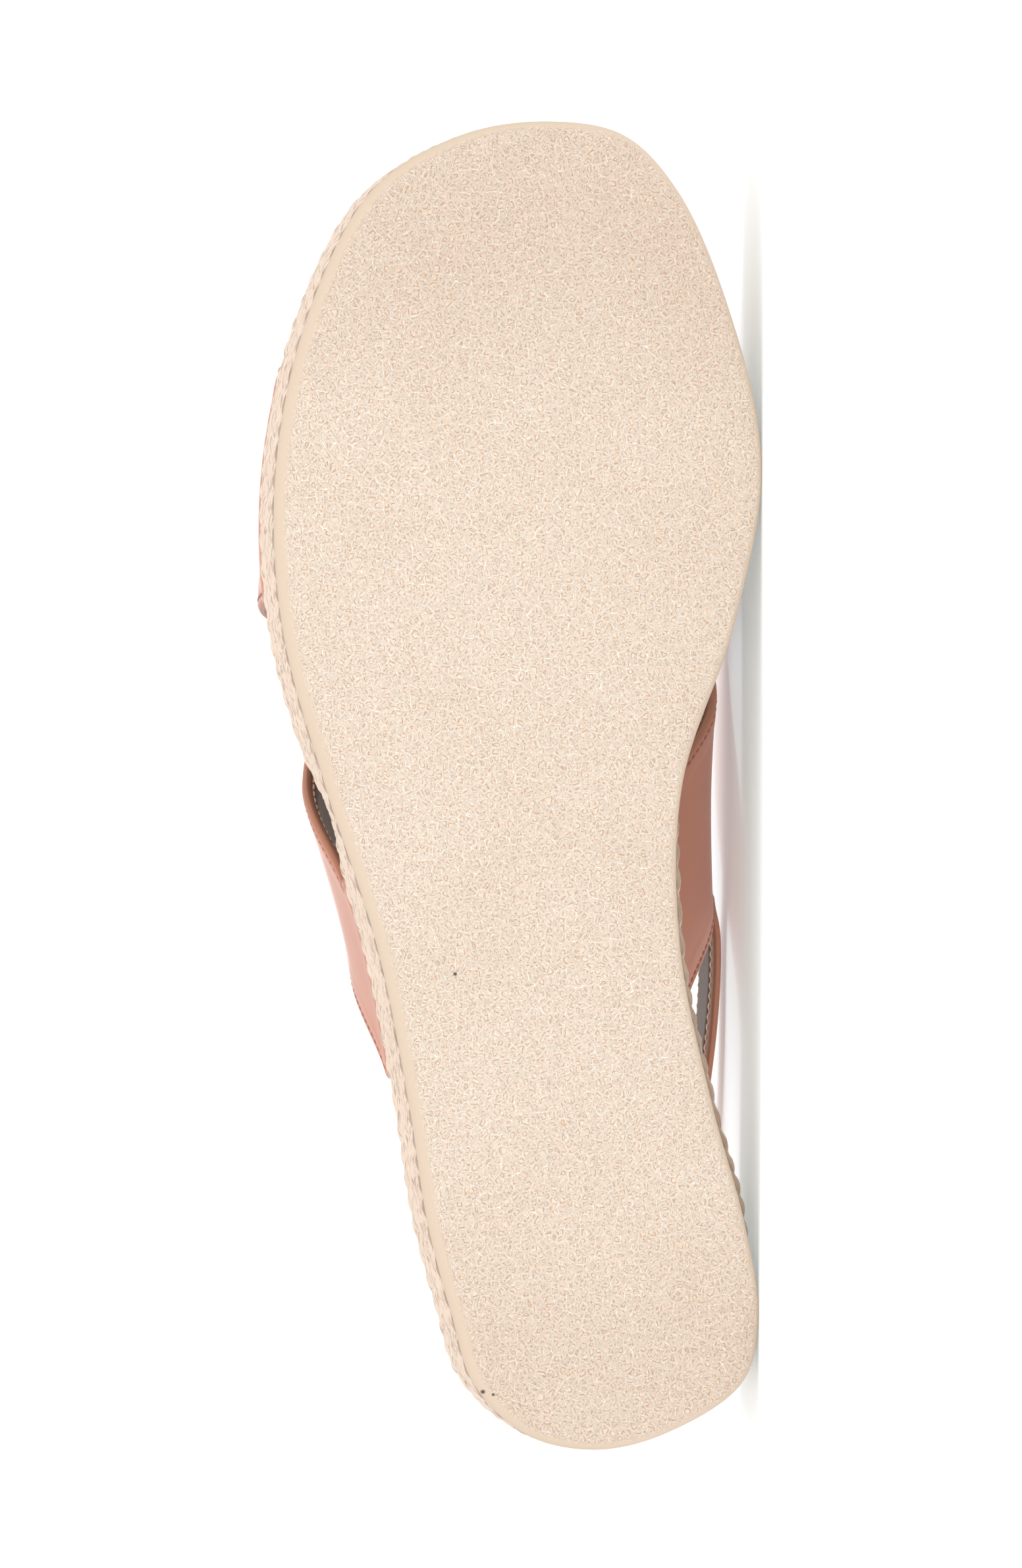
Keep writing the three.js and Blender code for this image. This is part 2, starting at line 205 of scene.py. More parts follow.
# Fixed colours and tints, linear
DIRT = (0.06, 0.04, 0.03)
CLOUDED_RUBBER = (0.93, 0.86, 0.80)
# Painted shade that darkens the tread towards the toe and the heel
TOE_HEEL_SHADE = (0.92, 0.89, 0.87)
PALE_JUTE = (0.79, 0.665, 0.55)
CLOUDED_LEATHER = (0.9, 0.82, 0.78)
CLOUDED_LINING = (0.75, 0.72, 0.7)
PLY_SHADE = (0.6, 0.55, 0.5)
# Painted shade of the needle holes
DARK_HOLE_SHADE = (0.05, 0.025, 0.018)
PALE_HOLE_SHADE = (0.10, 0.05, 0.035)
FLOOR_COLOUR = (0.9, 0.9, 0.9, 1.0)
FLOOR_GLOW = (0.80, 0.95, 1.0, 1.0)


def length_property(name, description, default):
    """A size in metres."""
    return bpy.props.FloatProperty(
        name=name, description=description, default=default, unit="LENGTH", precision=5
    )


def colour_property(name, description, default):
    """A linear colour."""
    return bpy.props.FloatVectorProperty(
        name=name, description=description, default=default, subtype="COLOR", min=0, max=1
    )


class SandalSizes(bpy.types.PropertyGroup):
    """Sizes of the sandal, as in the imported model"""

    length: length_property("Length", "Outsole from heel to toe", 257 * MM)
    ball_width: length_property("Ball width", "Outsole across the ball", 93.6 * MM)
    instep_height: length_property("Instep", "Inside of the upper at half length", 62 * MM)
    tread: length_property("Tread", "Thickness of the outsole", 4.5 * MM)
    tread_round: length_property("Tread rounding", "Radius of the outsole's rim", 2.2 * MM)
    toe_spring: length_property("Toe spring", "Rise of the tread at the toe", 5 * MM)
    braid_rows: bpy.props.IntProperty(name="Rows", description="Rows of braid", default=4)
    braid_height: length_property("Row height", "Height of one row of braid", 7.9 * MM)
    plait_length: length_property("Plait", "Length in which the plait repeats", 15 * MM)
    waist_flare: length_property("Waist flare", "Braid past the outsole, inner waist", 1.6 * MM)
    insole: length_property("Insole", "Thickness of the insole", 4.2 * MM)
    insole_round: length_property("Insole rounding", "Radius of the insole's edge", 1.2 * MM)
    insole_gap: length_property("Insole gap", "Clearance inside the strap ends", 0.45 * MM)
    leather: length_property("Leather", "Thickness of a strap", 2 * MM)
    over_width: length_property("Over strap", "Width along the sole's edge", 46.5 * MM)
    under_width: length_property("Under strap", "Width along the sole's edge", 39.5 * MM)
    heel_width: length_property("Heel strap", "Width of the heel strap", 13 * MM)
    heel_leather: length_property("Heel strap leather", "Its thickness", 1.7 * MM)
    heel_tuck: length_property("Heel strap tuck", "End sewn into the straps", 11 * MM)
    lasting_margin: length_property("Lasting margin", "Strap end under the insole", 11 * MM)
    gap: length_property("Gap", "Clearance between pieces", 0.3 * MM)
    stitch_pitch: length_property("Stitch pitch", "Length of one stitch", 2.1 * MM)
    stitch_inset: length_property("Stitch inset", "Topstitch from a strap's edge", 1.9 * MM)


class SandalColours(bpy.types.PropertyGroup):
    """Colours of the sandal's materials, linear"""

    rubber: colour_property("Rubber", "Tread between its pits", (0.695, 0.56, 0.45))
    rubber_pit: colour_property("Rubber pits", "Rings round the tread's pits", (0.46, 0.25, 0.13))
    rubber_ridge: colour_property("Rubber ridges", "Crinkles of the tread", (0.865, 0.78, 0.69))
    rim: colour_property("Rim", "Smooth rim of the outsole", (0.59, 0.465, 0.355))
    jute: colour_property("Jute", "Lit strands of the braid", (0.70, 0.555, 0.445))
    # jute_dark serves the darker fibres, and painted shade in the slits, under the lowest row and on
    # the core
    jute_dark: colour_property("Jute shade", "Fibres and slits of the braid", (0.33, 0.23, 0.165))
    leather: colour_property("Leather", "Smooth side of the straps", (0.55, 0.228, 0.145))
    leather_edge: colour_property("Leather edge", "Folded edges", (0.36, 0.145, 0.075))
    # Painted shade: fold is a darker copy of the strap leather for the strap's inner face
    fold: colour_property("Fold", "Inner side of the folded edges", (0.23, 0.09, 0.048))
    lining: colour_property("Lining", "Lining of the straps", (0.17, 0.132, 0.116))
    thread: colour_property("Thread", "Topstitching", (0.40, 0.14, 0.085))
    pale_thread: colour_property("Pale thread", "Stitching of the lining", (0.78, 0.65, 0.50))
    insole: colour_property("Insole", "Leather of the insole", (0.56, 0.33, 0.20))


def sizes():
    """The sizes in use."""
    return bpy.context.scene.sandal_sizes


def colours():
    """The colours in use."""
    return bpy.context.scene.sandal_colours


# The shoe's frame in the model's frame, from the tread mount and the outsole's heel tip
def shoe_axes():
    """Forward, inward and up as rows, in the model's frame."""
    up = -np.array(frame["record"]["mounts"][0]["axis"], float)
    up /= np.linalg.norm(up)
    forward = np.array((up[2], 0.0, -up[0]))
    forward /= np.linalg.norm(forward)
    return np.array((forward, np.cross(up, forward), up))


AXES = shoe_axes()
ORIGIN = np.array(frame["record"]["mounts"][0]["pos_m"], float) - np.array(TREAD_PLACE) @ AXES[:2]


def place(points):
    """Points of the shoe's frame in the model's: origin plus the axes times the coordinates."""
    return ORIGIN + np.asarray(points, float) @ AXES


# Curves and sections
def smoothstep(value, low, high):
    """0 below low, 1 above high, and 3w^2 - 2w^3 of the way w between them."""
    way = np.clip((value - low) / (high - low), 0, 1)
    return way * way * (3 - 2 * way)


def catmull_rom(points, closed=False):
    """Curve through points: a cubic between neighbours whose end slopes come from the knots on
    either side, with knot spacing equal to the square root of the chord."""
    points = np.asarray(points, float)
    if closed:
        knots = np.concatenate([points[-1:], points, points[:2]])
    else:
        first = 2 * points[:1] - points[1:2]
        last = 2 * points[-1:] - points[-2:-1]
        knots = np.concatenate([first, points, last])
    count = len(knots) - 3

    def curve(t):
        """Point at the share t of the knots' number."""
        spot = np.asarray(t, float) * count
        index = np.clip(np.floor(spot), 0, count - 1).astype(int)
        way = (spot - index)[..., None]
        a, b, c, d = (knots[index + k] for k in range(4))
        before, here, after = (
            np.sqrt(np.linalg.norm(q - p, axis=-1, keepdims=True))
            for p, q in ((a, b), (b, c), (c, d))
        )
        slope_in = ((b - a) / before - (c - a) / (before + here) + (c - b) / here) * here
        slope_out = ((c - b) / here - (d - b) / (here + after) + (d - c) / after) * here
        return hermite(b, c, slope_in, slope_out, way)

    return curve


def hermite(start, end, slope_in, slope_out, way):
    """Cubic with given ends and end slopes at the share `way` between them."""
    square = way * way
    cube = square * way
    return (
        start
        + slope_in * way
        + (3 * (end - start) - 2 * slope_in - slope_out) * square
        + (2 * (start - end) + slope_in + slope_out) * cube
    )


def form_column(column, x):
    """One column of the foot form's table at x, a cubic between rows with central slopes."""
    shares = FORM[:, 0]
    values = FORM[:, column]
    share = np.clip(np.asarray(x) / sizes().length, shares[0], shares[-1])
    index = np.clip(np.searchsorted(shares, share, side="right") - 1, 0, len(shares) - 2)
    slopes = np.gradient(values, shares)
    span = shares[index + 1] - shares[index]
    way = (share - shares[index]) / span
    return hermite(
        values[index], values[index + 1], slopes[index] * span, slopes[index + 1] * span, way
    )


def rise(x):
    """Rise of the tread at x: the toe spring times the square of the way past its start."""
    past = np.maximum(0, np.asarray(x) / sizes().length - SPRING_START) / (1 - SPRING_START)
    return sizes().toe_spring * past * past


@lru_cache(maxsize=None)
def outline(count):
    """Outline of the outsole: closed curve through the table's rows, with outward normals and
    whether each point is on the inner side."""
    rows = np.array(OUTLINE)
    inner = rows[:, (0, 2)]
    outer = rows[::-1, :2] * (1, -1)
    corners = np.concatenate([[(0, HEEL_TIP_SIDE)], inner, [(1, TOE_TIP_SIDE)], outer])
    curve = catmull_rom(corners * (sizes().length, sizes().ball_width), closed=True)
    t = np.arange(count) / count
    step = 0.2 / count
    along = curve(t + step) - curve((t - step) % 1)
    normals = np.stack([-along[:, 1], along[:, 0]], axis=1)
    normals /= np.linalg.norm(normals, axis=1, keepdims=True)
    return curve(t), normals, t < 0.5


def flare(x, inner):
    """How far the braid stands past the outsole: a plateau along the inner waist."""
    share = x / sizes().length
    plateau = smoothstep(share, 0.12, 0.2) * (1 - smoothstep(share, 0.42, 0.54))
    return np.where(inner, sizes().waist_flare * plateau, 0)


def ring(count, inset, height, platform=True):
    """Outline drawn in by an inset, which may vary along it, at a height over the tread."""
    plan, normals, inner = outline(count)
    out = (flare(plan[:, 0], inner) if platform else 0) - np.asarray(inset)
    moved = plan + normals * np.broadcast_to(out, count)[:, None]
    return np.column_stack([moved, height + rise(plan[:, 0])])


@lru_cache(maxsize=None)
def edge_table(inner, inset):
    """One side of the platform's outline as increasing x with y."""
    count = 800
    side = ring(count, inset, 0)[:, :2]
    if inner:
        return side[: count // 2 + 1]
    return np.concatenate([side[count // 2:], side[:1]])[::-1]


def edge_at(x, inner, inset):
    """Side of the platform's outline at x, drawn in by an inset."""
    table = edge_table(inner, round(inset, 7))
    return np.interp(x, table[:, 0], table[:, 1])


def platform_base():
    """Height of the platform's underside over the tread."""
    return sizes().tread + sizes().gap


def platform_top():
    """Height of the platform's top over the tread."""
    return platform_base() + sizes().braid_rows * sizes().braid_height


def strap_inset():
    """Inset of the inner face of a strap end from the platform's outline."""
    return sizes().leather


def form_knots(x):
    """Seven knots (y, z) of the foot form's section: edge, side, shoulder, crest and back."""
    base = platform_top() + rise(x)
    low = base + sizes().gap + sizes().insole
    inner, outer = (form_column(c, x) * sizes().ball_width * s for c, s in ((1, 1), (2, -1)))
    side = base + form_column(3, x) * sizes().instep_height
    crest = form_column(4, x) * sizes().ball_width
    top = base + form_column(5, x) * sizes().instep_height

    def shoulder(reach, fullness):
        """Between crest and side, outward and down by the fullness."""
        return crest + (reach - crest) * fullness, side + (top - side) * fullness

    knots = (
        (edge_at(x, True, strap_inset()), low),
        (inner, side),
        shoulder(inner, INNER_FULLNESS),
        (crest, top),
        shoulder(outer, OUTER_FULLNESS),
        (outer, side),
        (edge_at(x, False, strap_inset()), low),
    )
    return np.stack([np.stack(knot, axis=-1) for knot in knots], axis=-2)


def form_point(x, t):
    """Point of the foot form at x, with t from 0 on the inner side over the crest to 1: a cubic
    between knots whose slopes are half the step between the knots on either side."""
    x, t = np.broadcast_arrays(np.asarray(x, float), np.asarray(t, float))
    knots = form_knots(x)
    knots = np.concatenate([knots[..., :1, :], knots, knots[..., -1:, :]], axis=-2)
    spot = np.clip(t, 0, 1) * 6
    index = np.clip(np.floor(spot), 0, 5).astype(int)

    def knot(offset):
        """Knot at so many places past the index."""
        return np.take_along_axis(knots, (index + offset)[..., None, None], axis=-2)[..., 0, :]

    a, b, c, d = (knot(k) for k in range(4))
    section = hermite(b, c, (c - a) / 2, (d - b) / 2, (spot - index)[..., None])
    return np.concatenate([x[..., None], section], axis=-1)


def unit(vectors):
    """Vectors divided by their length."""
    return vectors / np.linalg.norm(vectors, axis=-1, keepdims=True)


def form_frame(x, t):
    """Directions up the form and out of it: cross product of the slopes along t and x."""
    small = 0.004
    reach = small * sizes().length
    up = unit(form_point(x, np.minimum(1, t + small)) - form_point(x, np.maximum(0, t - small)))
    along = form_point(x + reach, t) - form_point(x - reach, t)
    return up, unit(np.cross(up, along))


def strap_width(strap):
    """Width of a crossing strap along the sole's edge."""
    return sizes().over_width if strap["name"] == "over" else sizes().under_width


def strap_middle(strap, t):
    """x of a strap's middle at t: from its rear to its front end by 1 - (1 - way)^sweep."""
    way = 1 - t if strap["inner"] > strap["outer"] else t
    rear, front = sorted((strap["inner"], strap["outer"]))
    return sizes().length * (rear + (front - rear) * (1 - (1 - way) ** strap["sweep"]))


def strap_lift(strap, x, t):
    """Lift of the over strap: the under strap's thickness, easing to nothing past its edges."""
    if strap["name"] == "under":
        return np.zeros(np.broadcast(x, t).shape)
    away = np.abs(x - strap_middle(UNDER_STRAP, t)) - sizes().under_width / 2
    return sizes().leather * (1 - smoothstep(away, 0, RAMP_WIDTH))


def strap_point(strap, across, t, depth):
    """Point of a strap: the form at its middle plus `across`, moved out by lift and depth."""
    across, t = np.broadcast_arrays(across, t)
    x = strap_middle(strap, t) + across
    normal = form_frame(x, t)[1]
    out = strap_lift(strap, x, t) + depth
    return form_point(x, t) + normal * np.asarray(out)[..., None], normal


# Meshes
def make_object(name, vertices, loops, totals, material):
    """Mesh object from vertices in the shoe's frame and flat lists of face corners, faces out."""
    vertices = place(vertices)
    mesh = bpy.data.meshes.new(name)
    mesh.vertices.add(len(vertices))
    mesh.vertices.foreach_set("co", vertices.astype(np.float32).ravel())
    mesh.loops.add(len(loops))
    mesh.loops.foreach_set("vertex_index", loops.astype(np.int32))
    starts = np.concatenate([[0], np.cumsum(totals)[:-1]])
    mesh.polygons.add(len(totals))
    mesh.polygons.foreach_set("loop_start", starts.astype(np.int32))
    mesh.polygons.foreach_set("use_smooth", np.full(len(totals), True))
    mesh.update(calc_edges=True)
    mesh.validate()
    piece = bpy.data.objects.new(name, mesh)
    bpy.context.scene.collection.objects.link(piece)
    piece.data.materials.append(material)
    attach(piece, "root")
    return piece


def weld(points, quads, values):
    """Merges equal points of several grids. Each quad loses corners that fall together. `values`
    are per-point columns kept with the first of the merged points. Returns points, corners,
    corners per face, and each corner's row in the old points."""
    keys = np.round(points / (0.001 * MM)).astype(np.int64)
    _, first, back = np.unique(keys, axis=0, return_index=True, return_inverse=True)
    back = back.ravel()
    faces = back[quads]
    keep = faces != np.roll(faces, 1, axis=1)
    whole = keep.sum(axis=1) >= 3
    faces, keep, old = faces[whole], keep[whole], quads[whole]
    return points[first], faces[keep], keep.sum(axis=1), old[keep], values[first]


# Which ends of a grid are joined, of its rows and of its columns
SHEET = (False, False)
TUBE = (False, True)
LOOP = (True, True)


def grid_quads(rows, columns, wrap_rows, wrap_columns, start):
    """Corner indices of the quads of a grid whose points are numbered row by row."""
    index = start + np.arange(rows * columns).reshape(rows, columns)
    if wrap_rows:
        index = np.concatenate([index, index[:1]], axis=0)
    if wrap_columns:
        index = np.concatenate([index, index[:, :1]], axis=1)
    corners = (index[:-1, :-1], index[1:, :-1], index[1:, 1:], index[:-1, 1:])
    return np.stack([c.ravel() for c in corners], axis=1)


def signed_volume(points, quads):
    """Sixth of the sum of triple products of the quads' two triangles."""
    a, b, c, d = (points[quads[:, k]] for k in range(4))
    triple = np.einsum("ij,ij->i", a, np.cross(b, c)) + np.einsum("ij,ij->i", a, np.cross(c, d))
    return triple.sum() / 6


def grids_object(name, grids, material, wraps, maps=None, values=None):
    """Closed piece from grids of points (rows, columns, 3) that meet at their edges. `maps` holds
    a UV per point of each grid, `values` named numbers per point."""
    quads = []
    start = 0
    for grid, (wrap_rows, wrap_columns) in zip(grids, wraps):
        quads.append(grid_quads(*grid.shape[:2], wrap_rows, wrap_columns, start))
        start += grid.shape[0] * grid.shape[1]
    points = np.concatenate([g.reshape(-1, 3) for g in grids])
    quads = np.concatenate(quads)
    if signed_volume(points, quads) < 0:
        quads = quads[:, ::-1]
    names = list(values or {})
    columns = [np.concatenate([v.ravel() for v in values[n]]) for n in names]
    table = np.stack(columns, axis=1) if names else np.zeros((len(points), 0))
    merged, loops, totals, old, kept = weld(points, quads, table)
    piece = make_object(name, merged, loops, totals, material)
    mesh = piece.data
    if maps is not None:
        flat = np.concatenate([m.reshape(-1, 2) for m in maps])[old]
        layer = mesh.uv_layers.new(name="pattern")
        layer.data.foreach_set("uv", flat.astype(np.float32).ravel())
    for column, value_name in enumerate(names):
        attribute = mesh.attributes.new(value_name, "FLOAT", "POINT")
        attribute.data.foreach_set("value", kept[:, column].astype(np.float32))
    return piece


def fan_closed(rings):
    """Rings with one row of equal points added at both ends, the middle of the end rings."""
    ends = [np.broadcast_to(r.mean(axis=0), r.shape) for r in (rings[0], rings[-1])]
    return np.concatenate([ends[0][None], rings, ends[1][None]])


def ladder(edge, across):
    """Cap of a ring: for each pair of opposite points a straight row of points between them."""
    half = len(edge) // 2
    inner = edge[: half + 1]
    outer = np.concatenate([edge[:1], edge[:half - 1:-1]])
    way = np.linspace(0, 1, across)[None, :, None]
    return inner[:, None] * (1 - way) + outer[:, None] * way


def capped(wall, first, last):
    """Rings of a wall and the ladders that cap its first and last ring, with points across."""
    return [wall, ladder(wall[0], first), ladder(wall[-1], last)[::-1]]


def plan_map(points):
    """UV of a piece seen in plan: x and y as shares of the length."""
    return points[..., :2] / sizes().length


def capped_object(name, grids, material, values, map_scale=1):
    """Closed piece from a capped wall, mapped in plan."""
    maps = [plan_map(g) * map_scale for g in grids]
    return grids_object(name, grids, material, [TUBE, SHEET, SHEET], maps, values)


# Materials
class Value:
    """A shader socket. Arithmetic on it adds Math nodes, so that 1 - mask works."""

    def __init__(self, shader, socket):
        self.shader = shader
        self.socket = socket

    def math(self, operation, *others):
        """Math node on this value and others."""
        return self.shader.node("ShaderNodeMath", {"operation": operation}, (self, *others))

    def __add__(self, other):
        return self.math("ADD", other)

    def __sub__(self, other):
        return self.math("SUBTRACT", other)

    def __mul__(self, other):
        return self.math("MULTIPLY", other)

    def __truediv__(self, other):
        return self.math("DIVIDE", other)

    def __rsub__(self, other):
        return self.shader.node("ShaderNodeMath", {"operation": "SUBTRACT"}, (other, self))

    __radd__ = __add__
    __rmul__ = __mul__

    def clamped(self):
        """Value kept between 0 and 1."""
        return self.shader.node(
            "ShaderNodeMath", {"operation": "ADD", "use_clamp": True}, (self, 0.0)
        )

    def step(self, low, high):
        """Smooth step from 0 at low to 1 at high."""
        settings = {"interpolation_type": "SMOOTHSTEP"}
        return self.shader.node("ShaderNodeMapRange", settings, (self, low, high, 0.0, 1.0))

    def bell(self, middle, width):
        """Bump of height 1 at the middle: e to minus the square of the distance in widths."""
        away = (self - middle) / width
        return self.shader.node("ShaderNodeMath", {"operation": "EXPONENT"}, (away * away * -1.0,))


class Shader:
    """A material with a Principled shader whose other nodes are made by one method."""

    def __init__(self, name, **constants):
        self.material = bpy.data.materials.new(name)
        self.material.use_nodes = True
        self.tree = self.material.node_tree
        self.principled = self.tree.nodes["Principled BSDF"]
        for key, value in constants.items():
            self.principled.inputs[key.replace("_", " ")].default_value = value

    def node(self, kind, settings=None, inputs=(), output=0):
        """Node of a type, with settings set first and then the values or links of its sockets,
        given in order or by name. Returns one output as a Value."""
        node = self.tree.nodes.new(kind)
        for key, value in (settings or {}).items():
            setattr(node, key, value)
        pairs = inputs.items() if isinstance(inputs, dict) else enumerate(inputs)
        for key, value in pairs:
            if isinstance(value, Value):
                self.tree.links.new(value.socket, node.inputs[key])
            elif value is not None:
                node.inputs[key].default_value = value
        return Value(self, node.outputs[output])

    def mix(self, factor, first, second):
        """Colour between two, by a factor."""
        first, second = (self.colour(c) for c in (first, second))
        inputs = {0: factor, 6: first, 7: second}
        return self.node("ShaderNodeMix", {"data_type": "RGBA"}, inputs, output=2)

    def tint(self, factor, first, second):
        """First colour multiplied by the second, by a factor."""
        first, second = (self.colour(c) for c in (first, second))
        settings = {"data_type": "RGBA", "blend_type": "MULTIPLY"}
        return self.node("ShaderNodeMix", settings, {0: factor, 6: first, 7: second}, output=2)

    @staticmethod
    def colour(value):
        """A colour's three numbers with an alpha of 1, or a Value as it is."""
        return value if isinstance(value, Value) else (*value[:3], 1.0)

    def scaled(self, vector, scale):
        """Vector times three factors."""
        return self.node("ShaderNodeVectorMath", {"operation": "MULTIPLY"}, (vector, scale))

    def noise(self, vector, scale, detail=2.0, roughness=0.5):
        """Smooth noise from 0 to 1."""
        inputs = {"Vector": vector, "Scale": scale, "Detail": detail, "Roughness": roughness}
        return self.node("ShaderNodeTexNoise", None, inputs)

    def warped(self, vector, scale, amount):
        """Vector pushed about by coloured noise."""
        push = self.node("ShaderNodeTexNoise", None, {"Vector": vector, "Scale": scale}, 1)
        middle = self.node("ShaderNodeVectorMath", {"operation": "SUBTRACT"}, (push, (0.5,) * 3))
        moved = self.scaled(middle, (amount, amount, amount))
        return self.node("ShaderNodeVectorMath", {"operation": "ADD"}, (vector, moved))

    def object_coordinates(self):
        """Place in the model's frame, in metres."""
        return self.node("ShaderNodeTexCoord", None, (), "Object")

    def pattern_coordinates(self):
        """The piece's own UV map."""
        return self.node("ShaderNodeUVMap", {"uv_map": "pattern"})

    def attribute(self, name):
        """A number stored in the mesh."""
        return self.node("ShaderNodeAttribute", {"attribute_name": name}, (), "Fac")

    def feed(self, **sockets):
        """Links values to the Principled shader's sockets."""
        for key, value in sockets.items():
            self.tree.links.new(value.socket, self.principled.inputs[key.replace("_", " ")])

    def bump(self, height, distance, strength):
        """Relief of a height from 0 to 1 times a distance in metres."""
        inputs = {"Strength": strength, "Distance": distance, "Height": height}
        self.feed(Normal=self.node("ShaderNodeBump", None, inputs))


def photo_place(column, row):
    """A photograph's pixel on the tread, as shares of the length like the plan map."""
    x = (HEEL_TIP_ROW - row) / PIXELS_PER_MM * MM
    y = (column - MIDDLE_COLUMN) / PIXELS_PER_MM * MM
    return x / sizes().length, y / sizes().length


def dirty(look, plan, colour):
    """Colour with the specks of dirt: dark round each speck's middle, fading at its edge."""
    flat = look.scaled(plan, (1.0, 1.0, 0.0))
    for column, row, radius in DIRT_SPECKS:
        middle = (*photo_place(column, row), 0.0)
        away = look.node("ShaderNodeVectorMath", {"operation": "DISTANCE"}, (flat, middle), "Value")
        size = radius * MM / sizes().length
        speck = (1.0 - away.step(size * 0.5, size * 1.1)) * 0.92
        colour = look.mix(speck, colour, DIRT)
    return colour


def rubber_material():
    """Matte cream rubber: two nets of pale ridges, tan loops inside their meshes, a smooth rim,
    and painted shade towards the toe and the heel. Scales are per millimetre."""
    look = Shader("tread_rubber", Roughness=0.78)
    shade = colours()
    length = sizes().length / MM
    plan = look.pattern_coordinates()
    place_mm = look.scaled(plan, (length, length, 0.0))
    tread = look.attribute("tread")
    to_edge = {"voronoi_dimensions": "2D", "feature": "DISTANCE_TO_EDGE"}
    mesh = {"Vector": look.warped(place_mm, 0.4, 1.5), "Scale": 0.7, "Randomness": 0.9}
    edge = look.node("ShaderNodeTexVoronoi", to_edge, mesh)
    small_mesh = {"Vector": look.warped(place_mm, 0.9, 0.9), "Scale": 1.0, "Randomness": 1.0}
    small_edge = look.node("ShaderNodeTexVoronoi", to_edge, small_mesh)
    fine = look.noise(place_mm, 1.5, 3.0, 0.6)
    gaps = look.noise(place_mm, 0.75, 2.0, 0.5)
    strokes = look.noise(place_mm, 0.9, 2.0, 0.6)

    # Loops stand halfway into the meshes, the two nets' in turn
    loop = edge.bell(0.25, 0.06) * gaps.step(0.46, 0.56) * fine.step(0.4, 0.5)
    small_loop = small_edge.bell(0.25, 0.07) * (1.0 - gaps.step(0.42, 0.52)) * fine.step(0.4, 0.52)
    loop = (loop + small_loop).clamped()

    # Ridges run along the meshes' edges and break off into strokes
    ridge = (1.0 - edge.step(0.03, 0.11)) * (0.15 + strokes.step(0.4, 0.5) * 0.85)
    small_ridge = (1.0 - small_edge.step(0.03, 0.11)) * (1.0 - strokes.step(0.48, 0.56))
    ridge = (ridge + small_ridge * 0.7).clamped()

    colour = look.mix(fine.step(0.35, 0.7) * 0.3, shade.rubber, shade.rubber_ridge)
    colour = look.mix(loop * tread * 0.95, colour, shade.rubber_pit)
    colour = look.mix(ridge * tread * 0.85, colour, shade.rubber_ridge)
    broad = look.noise(place_mm, 0.03, 3.0)
    colour = look.tint(broad.step(0.4, 0.7) * 0.25, colour, CLOUDED_RUBBER)
    # Painted shade: the tread is tinted darker towards the toe and the heel
    along = look.node("ShaderNodeSeparateXYZ", None, (plan,), "X")
    toe_heel_shade = along.step(0.72, 0.93) + (1.0 - along.step(0.05, 0.2)) * 0.8
    colour = look.tint(toe_heel_shade, colour, TOE_HEEL_SHADE)
    rim = look.mix(fine * 0.2, shade.rim, shade.rubber)
    colour = look.mix(tread, rim, colour)
    look.feed(Base_Color=dirty(look, plan, colour))
    look.bump((ridge * 0.9 - loop * 0.3 + fine * 0.3) * tread, 0.25 * MM, 0.9)
    return look.material


def jute_material():
    """Plaited jute: long pale fibres with darker ones between them, and painted shade in the slits.
    """
    look = Shader("jute_braid", Roughness=0.85, Sheen_Weight=0.1, Sheen_Roughness=0.5)
    shade = colours()
    pattern = look.pattern_coordinates()
    fibres = look.noise(look.scaled(pattern, (24.0, 8.0, 0.0)), 1.0, 3.0, 0.55)
    yarns = look.noise(look.scaled(pattern, (14.0, 7.0, 0.0)), 1.0, 2.0, 0.5)
    painted_shade = look.attribute("painted_shade")
    # Darker fibres, plus painted shade from the shade value stored in the mesh
    dark = (fibres.step(0.52, 0.62) * 0.7 + painted_shade.step(0.2, 0.65) * 0.8).clamped()
    colour = look.mix(yarns.step(0.35, 0.7) * 0.5, shade.jute, PALE_JUTE)
    colour = look.mix(dark, colour, shade.jute_dark)
    look.feed(Base_Color=colour)
    look.bump(fibres * 0.7 + yarns, 0.3 * MM, 0.8)
    return look.material


def leather_material(name, colour, coat):
    """Smooth glossy leather: fine pores, faint cloudiness, darker rubbed edges, painted shade in the
    topstitch grooves and on the inner face, a clear coat.
    """
    look = Shader(name, Roughness=0.4, Coat_Weight=coat, Coat_Roughness=0.14)
    spot = look.object_coordinates()
    cloud = look.noise(spot, 45.0, 3.0)
    pores = look.node("ShaderNodeTexVoronoi", {"feature": "F1"}, {"Vector": spot, "Scale": 2600.0})
    creases = look.noise(spot, 900.0, 3.0, 0.6)
    edge = look.attribute("edge")
    base = look.tint(cloud.step(0.3, 0.7) * 0.35, colour, CLOUDED_LEATHER)
    # The edge value darkens the cut edges and paints shade into the topstitch grooves
    base = look.mix(edge * 0.75, base, colours().leather_edge)
    # Painted shade: the strap's inner face takes the darker fold colour
    base = look.mix(look.attribute("inside") * 0.95, base, colours().fold)
    look.feed(Base_Color=base, Roughness=0.32 + cloud * 0.12 + edge * 0.12)
    look.bump(pores * 0.35 + creases * 0.65, 0.05 * MM, 0.5)
    return look.material


def lining_material():
    """Fine grey-brown lining with a faint nap."""
    look = Shader("strap_lining", Roughness=0.8, Sheen_Weight=0.2, Sheen_Roughness=0.5)
    spot = look.object_coordinates()
    grain = look.noise(spot, 1400.0, 3.0, 0.6)
    shaded = grain.step(0.35, 0.65) * 0.4 + look.noise(spot, 60.0, 2.0) * 0.25
    look.feed(Base_Color=look.tint(shaded, colours().lining, CLOUDED_LINING))
    look.bump(grain, 0.06 * MM, 0.6)
    return look.material


